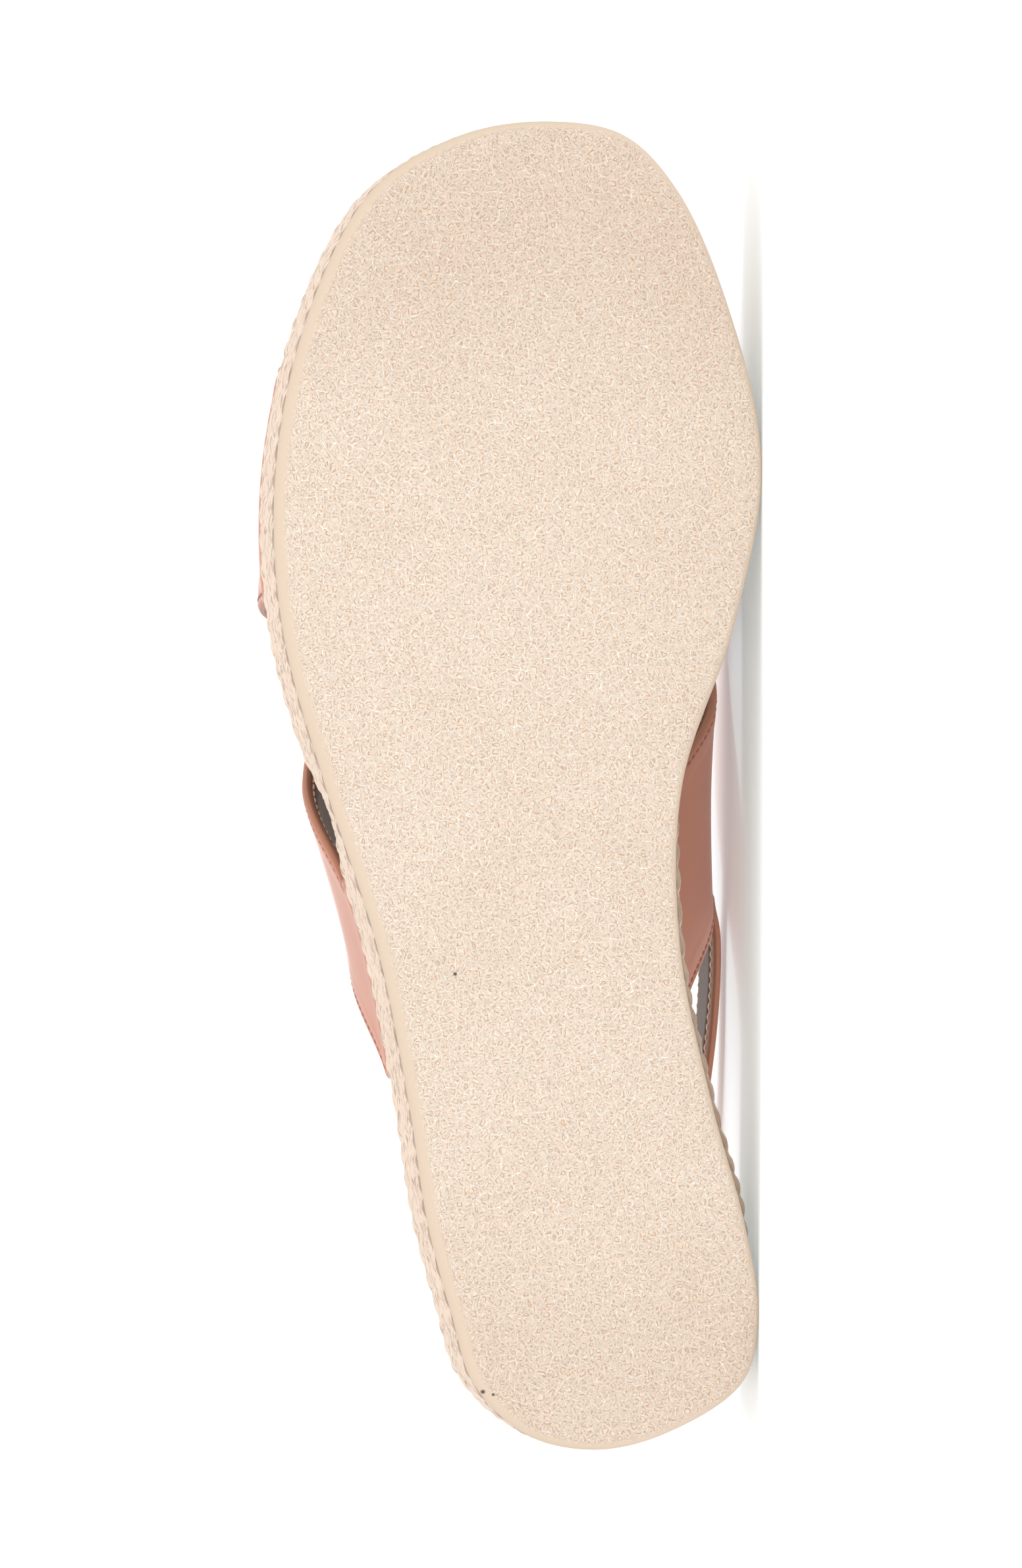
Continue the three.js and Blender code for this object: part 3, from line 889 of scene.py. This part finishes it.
def thread_material(name, colour):
    """Twisted thread: fine slanting plies across each stitch."""
    look = Shader(name, Roughness=0.6, Sheen_Weight=0.1)
    wave = {"wave_type": "BANDS", "bands_direction": "DIAGONAL"}
    inputs = {"Vector": look.pattern_coordinates(), "Scale": 2.2}
    plies = look.node("ShaderNodeTexWave", wave, inputs)
    look.feed(Base_Color=look.tint(plies * 0.5, colour, PLY_SHADE))
    look.bump(plies, 0.05 * MM, 0.6)
    return look.material


def hole_material():
    """Painted shade inside the needle holes."""
    look = Shader("needle_hole_shade", Roughness=0.9)
    grain = look.noise(look.object_coordinates(), 3000.0)
    look.feed(Base_Color=look.mix(grain, DARK_HOLE_SHADE, PALE_HOLE_SHADE))
    return look.material


def floor_material():
    """Plain pale floor that is lit faintly from below, like a light table."""
    glow = {"Emission_Color": FLOOR_GLOW, "Emission_Strength": 0.27}
    return Shader("floor", Roughness=0.9, Base_Color=FLOOR_COLOUR, **glow).material


# Pieces
def make_outsole():
    """Rubber tread: rings round its rim by a quarter circle, and two more round its back."""
    size = sizes()
    count = 900
    angles = np.linspace(0, np.pi / 2, 9)
    drawn_in = size.tread_round * (1 - np.sin(angles))
    heights = size.tread_round * (1 - np.cos(angles))
    rings = [ring(count, inset, height, False) for inset, height in zip(drawn_in, heights)]
    rings.append(ring(count, 0, size.tread - BACK_CHAMFER, False))
    rings.append(ring(count, BACK_CHAMFER, size.tread, False))
    wall, tread, back = grids = capped(np.array(rings), 60, 12)
    _, normals, _ = outline(count)
    start = RIM_WIDTH - RIM_CHANGE * normals[:, 1]
    mask = np.zeros(wall.shape[:2])
    mask[: len(angles)] = smoothstep(drawn_in[:, None] - start[None, :], *RIM_FADE)
    values = {"tread": [mask, np.ones(tread.shape[:2]), np.zeros(back.shape[:2])]}
    piece = capped_object("outsole_rubber", grids, rubber_material(), values)
    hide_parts("outsole")


def pinch(x, normals):
    """How far the topmost braid is drawn in beside the front edge of the rear outer strap end: a
    bell along x on the outer side."""
    size = sizes()
    front_edge = strap_middle(UNDER_STRAP, 1) + size.under_width / 2
    away = (x - front_edge - PINCH_AHEAD) / PINCH_LENGTH
    return PINCH_DEPTH * np.exp(-away * away) * (normals[:, 1] < 0)


def braid_strand(row, strand, count, around):
    """One strand of a plait round the platform: height A sin(a) and depth B sin(2a) with a the
    way round in plait lengths plus a third of a turn per strand, and an oval section."""
    size = sizes()
    plan, normals, _ = outline(count)
    closed = np.concatenate([plan, plan[:1]])
    lengths = np.linalg.norm(np.diff(closed, axis=0), axis=1)
    total = lengths.sum()
    distance = np.concatenate([[0], np.cumsum(lengths)[:-1]])
    plaits = round(total / size.plait_length)
    direction = 1 if row % 2 == 0 else -1
    around_sole = 2 * np.pi * distance / total
    # Two waves round the sole keep the turns from falling evenly
    uneven = 0.5 * np.sin(7 * around_sole + 2 * row) + 0.4 * np.sin(17 * around_sole + 3 * row)
    start = 2 * np.pi * strand / STRANDS + 1.3 * row
    turn = direction * plaits * around_sole + start + uneven
    middle = platform_base() + (row + 0.5) * size.braid_height
    height = middle + PLAIT_SWING * np.sin(turn)
    proud = OUTER_PROUD * (1 - normals[:, 1]) / 2
    drawn_in = pinch(plan[:, 0], normals) * row / (size.braid_rows - 1)
    weave = PLAIT_WEAVE * (1 - np.sin(2 * turn))
    inset = weave + STRAND_HALF_DEPTH - proud + drawn_in
    line = ring(count, inset, 0)
    line[:, 2] += height
    along = unit(np.roll(line, -1, axis=0) - np.roll(line, 1, axis=0))
    out = unit(np.column_stack([normals, np.zeros(count)]))
    side = unit(np.cross(along, out))
    out = np.cross(side, along)
    angle = np.arange(around) / around * 2 * np.pi
    section = (
        side[:, None] * STRAND_HALF_WIDTH * np.cos(angle)[None, :, None]
        + out[:, None] * STRAND_HALF_DEPTH * np.sin(angle)[None, :, None]
    )
    points = line[:, None] + section
    # Painted shade: deeper where the strand weaves in, and on its side towards the core
    depth_in = (1 - np.sin(2 * turn)) / 2
    painted_shade = depth_in[:, None] * 0.3 + ((1 - np.sin(angle)) ** 1.5)[None, :] * 0.7
    # Painted shade under the middle of the lowest row
    if row == 0:
        heights = line[:, None, 2] + section[..., 2] - rise(plan[:, :1])
        painted_shade = painted_shade + smoothstep(middle - DARK_BELOW - heights, 0, MM)
    travel = np.concatenate([[0], np.cumsum(np.linalg.norm(np.diff(line, axis=0), axis=1))])
    u = travel / (100 * MM) + row * 0.37 + strand * 0.71
    u, v = np.broadcast_arrays(u[:, None], (np.abs(angle - np.pi) / np.pi)[None, :])
    return points, np.stack([u, v], axis=-1), painted_shade


def make_platform():
    """Rows of plait round a plain core, whose wall is drawn in as the braid is."""
    size = sizes()
    material = jute_material()
    pieces = []
    for row in range(size.braid_rows):
        strands = [braid_strand(row, strand, 760, 12) for strand in range(STRANDS)]
        points, maps, painted_shade = (list(part) for part in zip(*strands))
        name = f"braid_row_{row + 1}"
        wraps = [LOOP] * STRANDS
        values = {"painted_shade": painted_shade}
        pieces.append(grids_object(name, points, material, wraps, maps, values))
    count = 400
    plan, normals, _ = outline(count)
    drawn_in = pinch(plan[:, 0], normals)
    shares = np.linspace(0, 1, 9)
    heights = np.linspace(platform_base() + CORE_LOW, platform_top() - CORE_HIGH, 9)
    wall = [ring(count, CORE_INSET + drawn_in * s, h) for s, h in zip(shares, heights)]
    grids = capped(np.array(wall), 10, 10)
    # Painted shade over the whole core behind the plait
    values = {"painted_shade": [np.full(g.shape[:2], CORE_SHADE) for g in grids]}
    pieces.append(capped_object("platform_core", grids, material, values, 4))
    for piece in pieces:
        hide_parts("platform_braid")


def strap_profile(width, thickness):
    """Closed section of a strap as (across, depth): two faces joined by half circles, with a
    trough under each topstitch and a slightly thicker folded border."""
    half = width / 2
    radius = thickness / 2
    flat = half - radius
    reach = min(FOLD_WIDTH, flat * 0.8)
    parts = (
        np.linspace(-flat, -flat + reach, 22),
        np.linspace(-flat + reach, flat - reach, 14)[1:-1],
        np.linspace(flat - reach, flat, 22),
    )
    across = np.concatenate(parts)
    from_edge = half - np.abs(across)
    trough = np.exp(-(((from_edge - sizes().stitch_inset) / TROUGH_WIDTH) ** 2))
    fold = 1 - smoothstep(from_edge, *FOLD_STEP)
    depth = thickness + (FOLD_RISE * fold - TROUGH_DEPTH * trough)
    angle = np.linspace(np.pi / 2, -np.pi / 2, 9)[1:-1]
    arc = np.column_stack([flat + radius * np.cos(angle), radius + radius * np.sin(angle)])
    outer = np.column_stack([across, depth])
    inner = np.column_stack([across[::-1], np.zeros(len(across))])
    return np.concatenate([outer, arc, inner, arc[::-1] * (-1, 1)])


def strap_end(strap, profile, inner):
    """Rings of a strap's tucked end, from under the insole round the corner to the wall."""
    size = sizes()
    outward = 1 if inner else -1
    x = strap_middle(strap, 0 if inner else 1) + profile[:, 0]
    depth = profile[:, 1]
    height = platform_top() + size.gap + size.leather + rise(x)
    corner = np.column_stack([x, edge_at(x, inner, strap_inset()), height])
    deep = np.column_stack([x, edge_at(x, inner, strap_inset() + size.lasting_margin), height])
    down = np.column_stack([np.zeros_like(x), np.zeros_like(x), -depth])
    rings = [deep + down]
    for angle in np.linspace(0, np.pi / 2, 7):
        turned = np.column_stack(
            [np.zeros_like(x), outward * np.sin(angle) * depth, -np.cos(angle) * depth]
        )
        rings.append(corner + turned)
    return np.array(rings)


def strap_values(profile, width, thickness, rows):
    """Wear of a strap's edges with painted shade in the grooves of its topstitch, and where its
    inner side is, which gets painted shade.
    """
    from_edge = width / 2 - np.abs(profile[:, 0])
    outer = profile[:, 1] > thickness / 2
    worn = 1 - smoothstep(from_edge, *WORN_EDGE)
    from_stitch = (from_edge - sizes().stitch_inset) / GROOVE_WIDTH
    # Painted shade in the topstitch groove on the outer face, on top of the darker cut edge
    edge = np.maximum(worn, GROOVE_SHADE * np.exp(-(from_stitch**2)) * outer)
    # Painted shade: the inner side takes the darker fold colour
    inside = (profile[:, 1] < INSIDE_SHARE * thickness).astype(float)
    wide = (rows, len(profile))
    return {"edge": [np.broadcast_to(edge, wide)], "inside": [np.broadcast_to(inside, wide)]}


def make_crossing_strap(strap, material):
    """Crossing strap: its section carried over the foot form, with both ends tucked in."""
    width = strap_width(strap)
    leather = sizes().leather
    profile = strap_profile(width, leather)
    t = np.linspace(0, 1, 230)[:, None]
    arch, _ = strap_point(strap, profile[None, :, 0], t, profile[None, :, 1])
    first, last = (strap_end(strap, profile, inner) for inner in (True, False))
    rings = fan_closed(np.concatenate([first, arch, last[::-1]]))
    values = strap_values(profile, width, leather, len(rings))
    name = f"strap_{strap['name']}"
    return grids_object(name, [rings], material, [TUBE], values=values)


def heel_strap_curves():
    """Lower and upper edge of the heel strap: curves through its table's places, that start and
    end inside the walls of the crossing straps."""
    size = sizes()
    lower = []
    upper = []

    def add(middle, up):
        """Edges at half the width down and up from the middle."""
        lower.append(middle - up * size.heel_width / 2)
        upper.append(middle + up * size.heel_width / 2)

    def add_sewn(strap, t, sign):
        """Two places in the middle of a crossing strap's wall, inside its rear edge and on it."""
        rear = strap_middle(strap, t) - strap_width(strap) / 2
        places = (rear + size.heel_tuck, rear)
        for x in places if sign > 0 else places[::-1]:
            up, normal = form_frame(np.array(x), np.array(t))
            add(form_point(x, t) + normal * size.leather / 2, up * sign)

    add_sewn(OVER_STRAP, HEEL_STRAP_PLACE, 1)
    for share, side, height in HEEL_STRAP:
        z = platform_top() + height * size.instep_height
        up = unit(np.array((0, -HEEL_STRAP_LEAN * side, 1.0)))
        add(np.array((share * size.length, side * size.ball_width, z)), up)
    add_sewn(UNDER_STRAP, 1 - HEEL_STRAP_PLACE, -1)
    return catmull_rom(lower), catmull_rom(upper)


def heel_strap_point(t, way, depth):
    """Point of the heel strap: `way` up from its lower to its upper edge and out by depth."""
    lower, upper = heel_strap_curves()
    step = 0.002
    low, high = lower(t), upper(t)
    after = lower(np.minimum(1, t + step)) + upper(np.minimum(1, t + step))
    before = lower(np.maximum(0, t - step)) + upper(np.maximum(0, t - step))
    normal = unit(np.cross(after - before, high - low))
    point = low + (high - low) * np.asarray(way)[..., None]
    return point + normal * np.asarray(depth)[..., None], normal


def heel_strap_rings(profile, t, thinning=0.0):
    """Section (across, depth) carried along the heel strap, thinned by a share at each t."""
    size = sizes()
    way = profile[None, :, 0] / size.heel_width + 0.5
    depth = profile[None, :, 1] - size.heel_leather / 2
    share = 1 - np.reshape(thinning, (-1, 1))
    return fan_closed(heel_strap_point(t[:, None], way, depth * share)[0])


def make_heel_strap(material):
    """Heel strap: its section carried between its edge curves, thinned where it is sewn in."""
    size = sizes()
    profile = strap_profile(size.heel_width, size.heel_leather)
    t = np.linspace(0, 1, 300)
    sewn = 1 - smoothstep(np.minimum(t, 1 - t), 0.8 * SEWN_SHARE, SEWN_SHARE)
    rings = heel_strap_rings(profile, t, SEWN_THINNING * sewn)
    values = strap_values(profile, size.heel_width, size.heel_leather, len(rings))
    return grids_object("strap_heel", [rings], material, [TUBE], values=values)


def lining_profile(width, margin):
    """Closed section of a lining as (across, depth) that lies on the strap's inner face."""
    half = width / 2 - margin
    across = np.linspace(-half, half, 24)
    inner = np.column_stack([across, np.full(24, -LINING_THICKNESS)])
    inner[(0, -1), 1] = -LINING_THICKNESS * 0.4
    outer = np.column_stack([across[::-1], np.full(24, LINING_BED)])
    return np.concatenate([inner, outer])


def make_linings(material):
    """Linings of the three straps, inside their folded borders."""
    linings = []
    t = np.linspace(0, 1, 180)[:, None]
    for strap in (OVER_STRAP, UNDER_STRAP):
        profile = lining_profile(strap_width(strap), LINING_MARGIN)
        rings, _ = strap_point(strap, profile[None, :, 0], t, profile[None, :, 1])
        linings.append((f"lining_{strap['name']}", fan_closed(rings)))
    profile = lining_profile(sizes().heel_width, HEEL_LINING_MARGIN)
    t = np.linspace(SEWN_SHARE, 1 - SEWN_SHARE, 260)
    linings.append(("lining_heel", heel_strap_rings(profile, t)))
    for name, rings in linings:
        grids_object(name, [rings], material, [TUBE])


def stitch_run(name, runs, thread, holes=None):
    """Stitches along lines. Each run is points and normals of a fine line. A stitch is a thread
    that arches from hole to hole: height h sin(pi w) and radius r sin(pi w)^0.35 at the way w."""
    pitch = sizes().stitch_pitch
    span = pitch * STITCH_SHARE
    ways = np.linspace(0.02, 0.98, 9)
    sides = 8
    swell = np.sin(np.pi * ways)
    grids = []
    maps = []
    pits = []
    for points, normals in runs:
        steps = np.linalg.norm(np.diff(points, axis=0), axis=1)
        travel = np.concatenate([[0], np.cumsum(steps)])
        count = int(travel[-1] / pitch)
        starts = (np.arange(count) + 0.5) * travel[-1] / count - span / 2
        places = starts[:, None] + ways[None, :] * span

        def along(columns):
            """Columns at the stitches' places."""
            return np.stack([np.interp(places, travel, c) for c in columns.T], axis=-1)

        line = along(points)
        normal = unit(along(normals))
        radius = STITCH_THICKNESS / 2 * swell**0.35
        arch = (swell - 0.55) * STITCH_THICKNESS * 0.45
        line = line + normal * arch[None, :, None]
        tangent = unit(np.gradient(line, axis=1))
        side = unit(np.cross(tangent, normal))
        angle = np.arange(sides) / sides * 2 * np.pi
        section = (
            side[:, :, None] * np.cos(angle)[None, None, :, None]
            + normal[:, :, None] * np.sin(angle)[None, None, :, None] * 0.8
        )
        tubes = line[:, :, None] + section * radius[None, :, None, None]
        u, v = np.broadcast_arrays(ways[:, None] * 3, angle[None, :] / (2 * np.pi))
        for tube in tubes:
            grids.append(fan_closed(tube))
            maps.append(np.stack([u, v], axis=-1)[(0, *range(len(ways)), -1), :])
        if holes is not None:
            pits.append((line[:, 0], normal[:, 0]))
            pits.append((line[:, -1], normal[:, -1]))
    grids_object(name, grids, thread, [TUBE] * len(grids), maps)
    if holes is not None:
        make_holes(f"{name}_holes", pits, holes)


def make_holes(name, pits, material):
    """Needle holes: flat lenses of 5 by 10 faces in painted shade, sunk at the ends of the stitches.
    """
    bands = np.linspace(0, np.pi, 6)
    angle = np.arange(10) / 10 * 2 * np.pi
    grids = []
    for spots, normals in pits:
        first = unit(np.cross(normals, (1.0, 0.0, 0.0)))
        second = np.cross(normals, first)
        for spot, normal, a, b in zip(spots, normals, first, second):
            disc = a * np.cos(angle)[:, None] + b * np.sin(angle)[:, None]
            lens = (
                spot
                + disc[None] * (np.sin(bands) * HOLE_RADIUS)[:, None, None]
                + normal * (np.cos(bands) * 0.3 * HOLE_RADIUS)[:, None, None]
            )
            grids.append(lens)
    grids_object(name, grids, material, [TUBE] * len(grids))


def edge_line(strap, side, inset, depth):
    """Line along a crossing strap's edge and its normals: side -1 is the rear edge."""
    across = side * (strap_width(strap) / 2 - inset)
    return strap_point(strap, across, np.linspace(0, 1, 500), depth)


def heel_line(side, inset, depth):
    """Line along the heel strap's edge and its normals: side -1 is the lower edge."""
    t = np.linspace(SEWN_SHARE, 1 - SEWN_SHARE, 700)
    way = np.full(t.shape, 0.5 + side * (0.5 - inset / sizes().heel_width))
    return heel_strap_point(t, way, np.full(t.shape, depth))


def turned_inward(lines):
    """Lines with their normals turned to the strap's inner side."""
    return [(line, -normal) for line, normal in lines]


def make_stitches():
    """Topstitching outside with its needle holes, and pale stitching inside, on each strap."""
    size = sizes()
    thread = thread_material("topstitch_thread", colours().thread)
    pale = thread_material("lining_thread", colours().pale_thread)
    holes = hole_material()
    sides = (-1, 1)
    rise_in = INNER_STITCH_RISE
    surface = size.leather - STITCH_SINK
    for strap in (OVER_STRAP, UNDER_STRAP):
        name = strap["name"]
        outside = [edge_line(strap, s, size.stitch_inset, surface) for s in sides]
        stitch_run(f"topstitch_{name}", outside, thread, holes)
        inside = turned_inward(edge_line(strap, s, INNER_INSET, -rise_in) for s in sides)
        stitch_run(f"inner_stitch_{name}", inside, pale)
    face = size.heel_leather / 2
    outside = [heel_line(s, size.stitch_inset, face - HEEL_STITCH_SINK) for s in sides]
    stitch_run("topstitch_heel", outside, thread, holes)
    inside = turned_inward(heel_line(s, HEEL_INNER_INSET, -face - rise_in) for s in sides)
    stitch_run("inner_stitch_heel", inside, pale)


def strap_ends_mask(x, inner):
    """1 where a strap end lies under the insole, and 0 past it."""
    mask = np.zeros(x.shape)
    for strap in (OVER_STRAP, UNDER_STRAP):
        for at_inner in (True, False):
            middle = strap_middle(strap, 0 if at_inner else 1)
            away = np.abs(x - middle) - strap_width(strap) / 2
            here = (inner == at_inner) * (1 - smoothstep(away, *RELIEF_END))
            mask = np.maximum(mask, here)
    return mask


def make_insole():
    """Leather-covered insole: rounded rings, lipped where straps pass under, and its stitching."""
    size = sizes()
    count = 800
    inset = strap_inset() + size.insole_gap
    base = platform_top()
    plan, _, inner = outline(count)
    room = 2 * size.gap + size.leather
    lip = size.gap + (room - size.gap) * strap_ends_mask(plan[:, 0], inner)
    rings = [ring(count, inset + RELIEF_INSET, base + room), ring(count, inset, base)]
    rings[1][:, 2] += lip
    top = size.gap + size.insole
    for angle in np.linspace(0, np.pi / 2, 7):
        rounding = size.insole_round * (1 - np.cos(angle))
        height = top - size.insole_round * (1 - np.sin(angle))
        rings.append(ring(count, inset + rounding, base + height))
    grids = capped(np.array(rings), 8, 40)
    material = leather_material("insole_leather", colours().insole, 0.1)
    values = {"edge": [np.zeros(g.shape[:2]) for g in grids]}
    piece = capped_object("insole_cover", grids, material, values)
    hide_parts("insole")
    border = ring(1200, inset + INSOLE_STITCH_INSET, base + top)
    border = np.concatenate([border, border[:1]])
    normals = np.broadcast_to((0.0, 0.0, 1.0), border.shape)
    pale = thread_material("insole_thread", colours().pale_thread)
    stitch_run("insole_stitches", [(border, normals)], pale)


def make_upper():
    """The three leather straps and their linings."""
    leather = leather_material("strap_leather", colours().leather, 0.2)
    lining = lining_material()
    pieces = [make_crossing_strap(strap, leather) for strap in (UNDER_STRAP, OVER_STRAP)]
    pieces.append(make_heel_strap(leather))
    for piece in pieces:
        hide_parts("upper")
    make_linings(lining)


# Stage
def make_floor():
    """Wide pale floor under the sandal."""
    half = 40.0
    mesh = bpy.data.meshes.new("floor")
    corners = [(-half, -half, 0), (half, -half, 0), (half, half, 0), (-half, half, 0)]
    mesh.from_pydata(corners, [], [(0, 1, 2, 3)])
    mesh.materials.append(floor_material())
    floor = bpy.data.objects.new("floor", mesh)
    bpy.context.scene.collection.objects.link(floor)


def look_at(thing, target, up):
    """Turns an object's -Z to a target with its Y towards `up`."""
    back = unit(np.array(thing.location) - target)
    right = unit(np.cross(up, back))
    matrix = Matrix(np.column_stack([right, np.cross(back, right), back]).tolist()).to_4x4()
    matrix.translation = thing.location
    thing.matrix_world = matrix


def make_camera():
    """Camera square to the photograph: it looks up at the tread from a little to the outer
    side, its picture's top towards the toe."""
    data = bpy.data.cameras.new("camera")
    camera = bpy.data.objects.new("camera", data)
    bpy.context.scene.collection.objects.link(camera)
    x = (HEEL_TIP_ROW - PHOTO_HEIGHT / 2) / PIXELS_PER_MM * MM
    y = (PHOTO_WIDTH / 2 - MIDDLE_COLUMN) / PIXELS_PER_MM * MM
    tilt = np.radians(VIEW_TILT)
    away = np.array((0, -np.sin(tilt), -np.cos(tilt))) * CAMERA_DISTANCE
    camera.location = place(np.array((x, y, 0)) + away)
    look_at(camera, place((x, y, 0)), AXES[0])
    data.sensor_width = 36
    frame_height = PHOTO_HEIGHT / PIXELS_PER_MM * MM / ENLARGEMENT
    data.lens = data.sensor_width * CAMERA_DISTANCE / frame_height
    data.clip_end = 200
    bpy.context.scene.camera = camera


def add_light(name, location, target, size, power):
    """Square soft light that faces a target."""
    data = bpy.data.lights.new(name, "AREA")
    data.shape = "SQUARE"
    data.size = size
    data.energy = power
    light = bpy.data.objects.new(name, data)
    bpy.context.scene.collection.objects.link(light)
    light.location = location
    look_at(light, np.array(target), (0.0, 0.3, 1.0))


def make_lights():
    """White surroundings, a large light over the sandal, one beside the camera, one behind."""
    world = bpy.data.worlds.new("studio")
    world.use_nodes = True
    background = world.node_tree.nodes["Background"]
    background.inputs["Color"].default_value = (1, 1, 1, 1)
    background.inputs["Strength"].default_value = 1.03
    bpy.context.scene.world = world
    for light in LIGHTS:
        add_light(*light)
    bpy.context.scene.view_settings.view_transform = "Standard"


# Operators
class SANDAL_OT_outsole(bpy.types.Operator):
    """Make the rubber outsole"""

    bl_idname = "sandal.outsole"
    bl_label = "Outsole"

    def execute(self, context):
        make_outsole()
        return {"FINISHED"}


class SANDAL_OT_platform(bpy.types.Operator):
    """Make the platform and its rows of plaited jute"""

    bl_idname = "sandal.platform"
    bl_label = "Platform"

    def execute(self, context):
        make_platform()
        return {"FINISHED"}


class SANDAL_OT_insole(bpy.types.Operator):
    """Make the insole and its border stitching"""

    bl_idname = "sandal.insole"
    bl_label = "Insole"

    def execute(self, context):
        make_insole()
        return {"FINISHED"}


class SANDAL_OT_upper(bpy.types.Operator):
    """Make the straps and their linings"""

    bl_idname = "sandal.upper"
    bl_label = "Upper"

    def execute(self, context):
        make_upper()
        return {"FINISHED"}


class SANDAL_OT_stitches(bpy.types.Operator):
    """Make the stitching of the straps"""

    bl_idname = "sandal.stitches"
    bl_label = "Stitches"

    def execute(self, context):
        make_stitches()
        return {"FINISHED"}


class SANDAL_OT_stage(bpy.types.Operator):
    """Make the floor, the lights and the camera"""

    bl_idname = "sandal.stage"
    bl_label = "Stage"

    def execute(self, context):
        make_floor()
        make_lights()
        make_camera()
        return {"FINISHED"}


class SANDAL_PT_panel(bpy.types.Panel):
    """Sandal's pieces, sizes and colours in the sidebar"""

    bl_idname = "SANDAL_PT_panel"
    bl_label = "Platform sandal"
    bl_space_type = "VIEW_3D"
    bl_region_type = "UI"
    bl_category = "Sandal"

    def draw(self, context):
        for operator in OPERATORS:
            self.layout.operator(operator.bl_idname)
        for group in (context.scene.sandal_sizes, context.scene.sandal_colours):
            box = self.layout.box()
            for name in group.__annotations__:
                box.prop(group, name)


OPERATORS = (
    SANDAL_OT_stage,
    SANDAL_OT_outsole,
    SANDAL_OT_platform,
    SANDAL_OT_insole,
    SANDAL_OT_upper,
    SANDAL_OT_stitches,
)
CLASSES = (SandalSizes, SandalColours, *OPERATORS, SANDAL_PT_panel)


def register():
    """Adds the classes to Blender, and the sizes and colours to the scene."""
    for item in CLASSES:
        bpy.utils.register_class(item)
    bpy.types.Scene.sandal_sizes = bpy.props.PointerProperty(type=SandalSizes)
    bpy.types.Scene.sandal_colours = bpy.props.PointerProperty(type=SandalColours)


def unregister():
    """Takes the classes, sizes and colours away again."""
    del bpy.types.Scene.sandal_colours
    del bpy.types.Scene.sandal_sizes
    for item in reversed(CLASSES):
        bpy.utils.unregister_class(item)


def main():
    register()
    bpy.ops.sandal.stage()
    bpy.ops.sandal.outsole()
    bpy.ops.sandal.platform()
    bpy.ops.sandal.insole()
    bpy.ops.sandal.upper()
    bpy.ops.sandal.stitches()


if __name__ == "__main__":
    main()
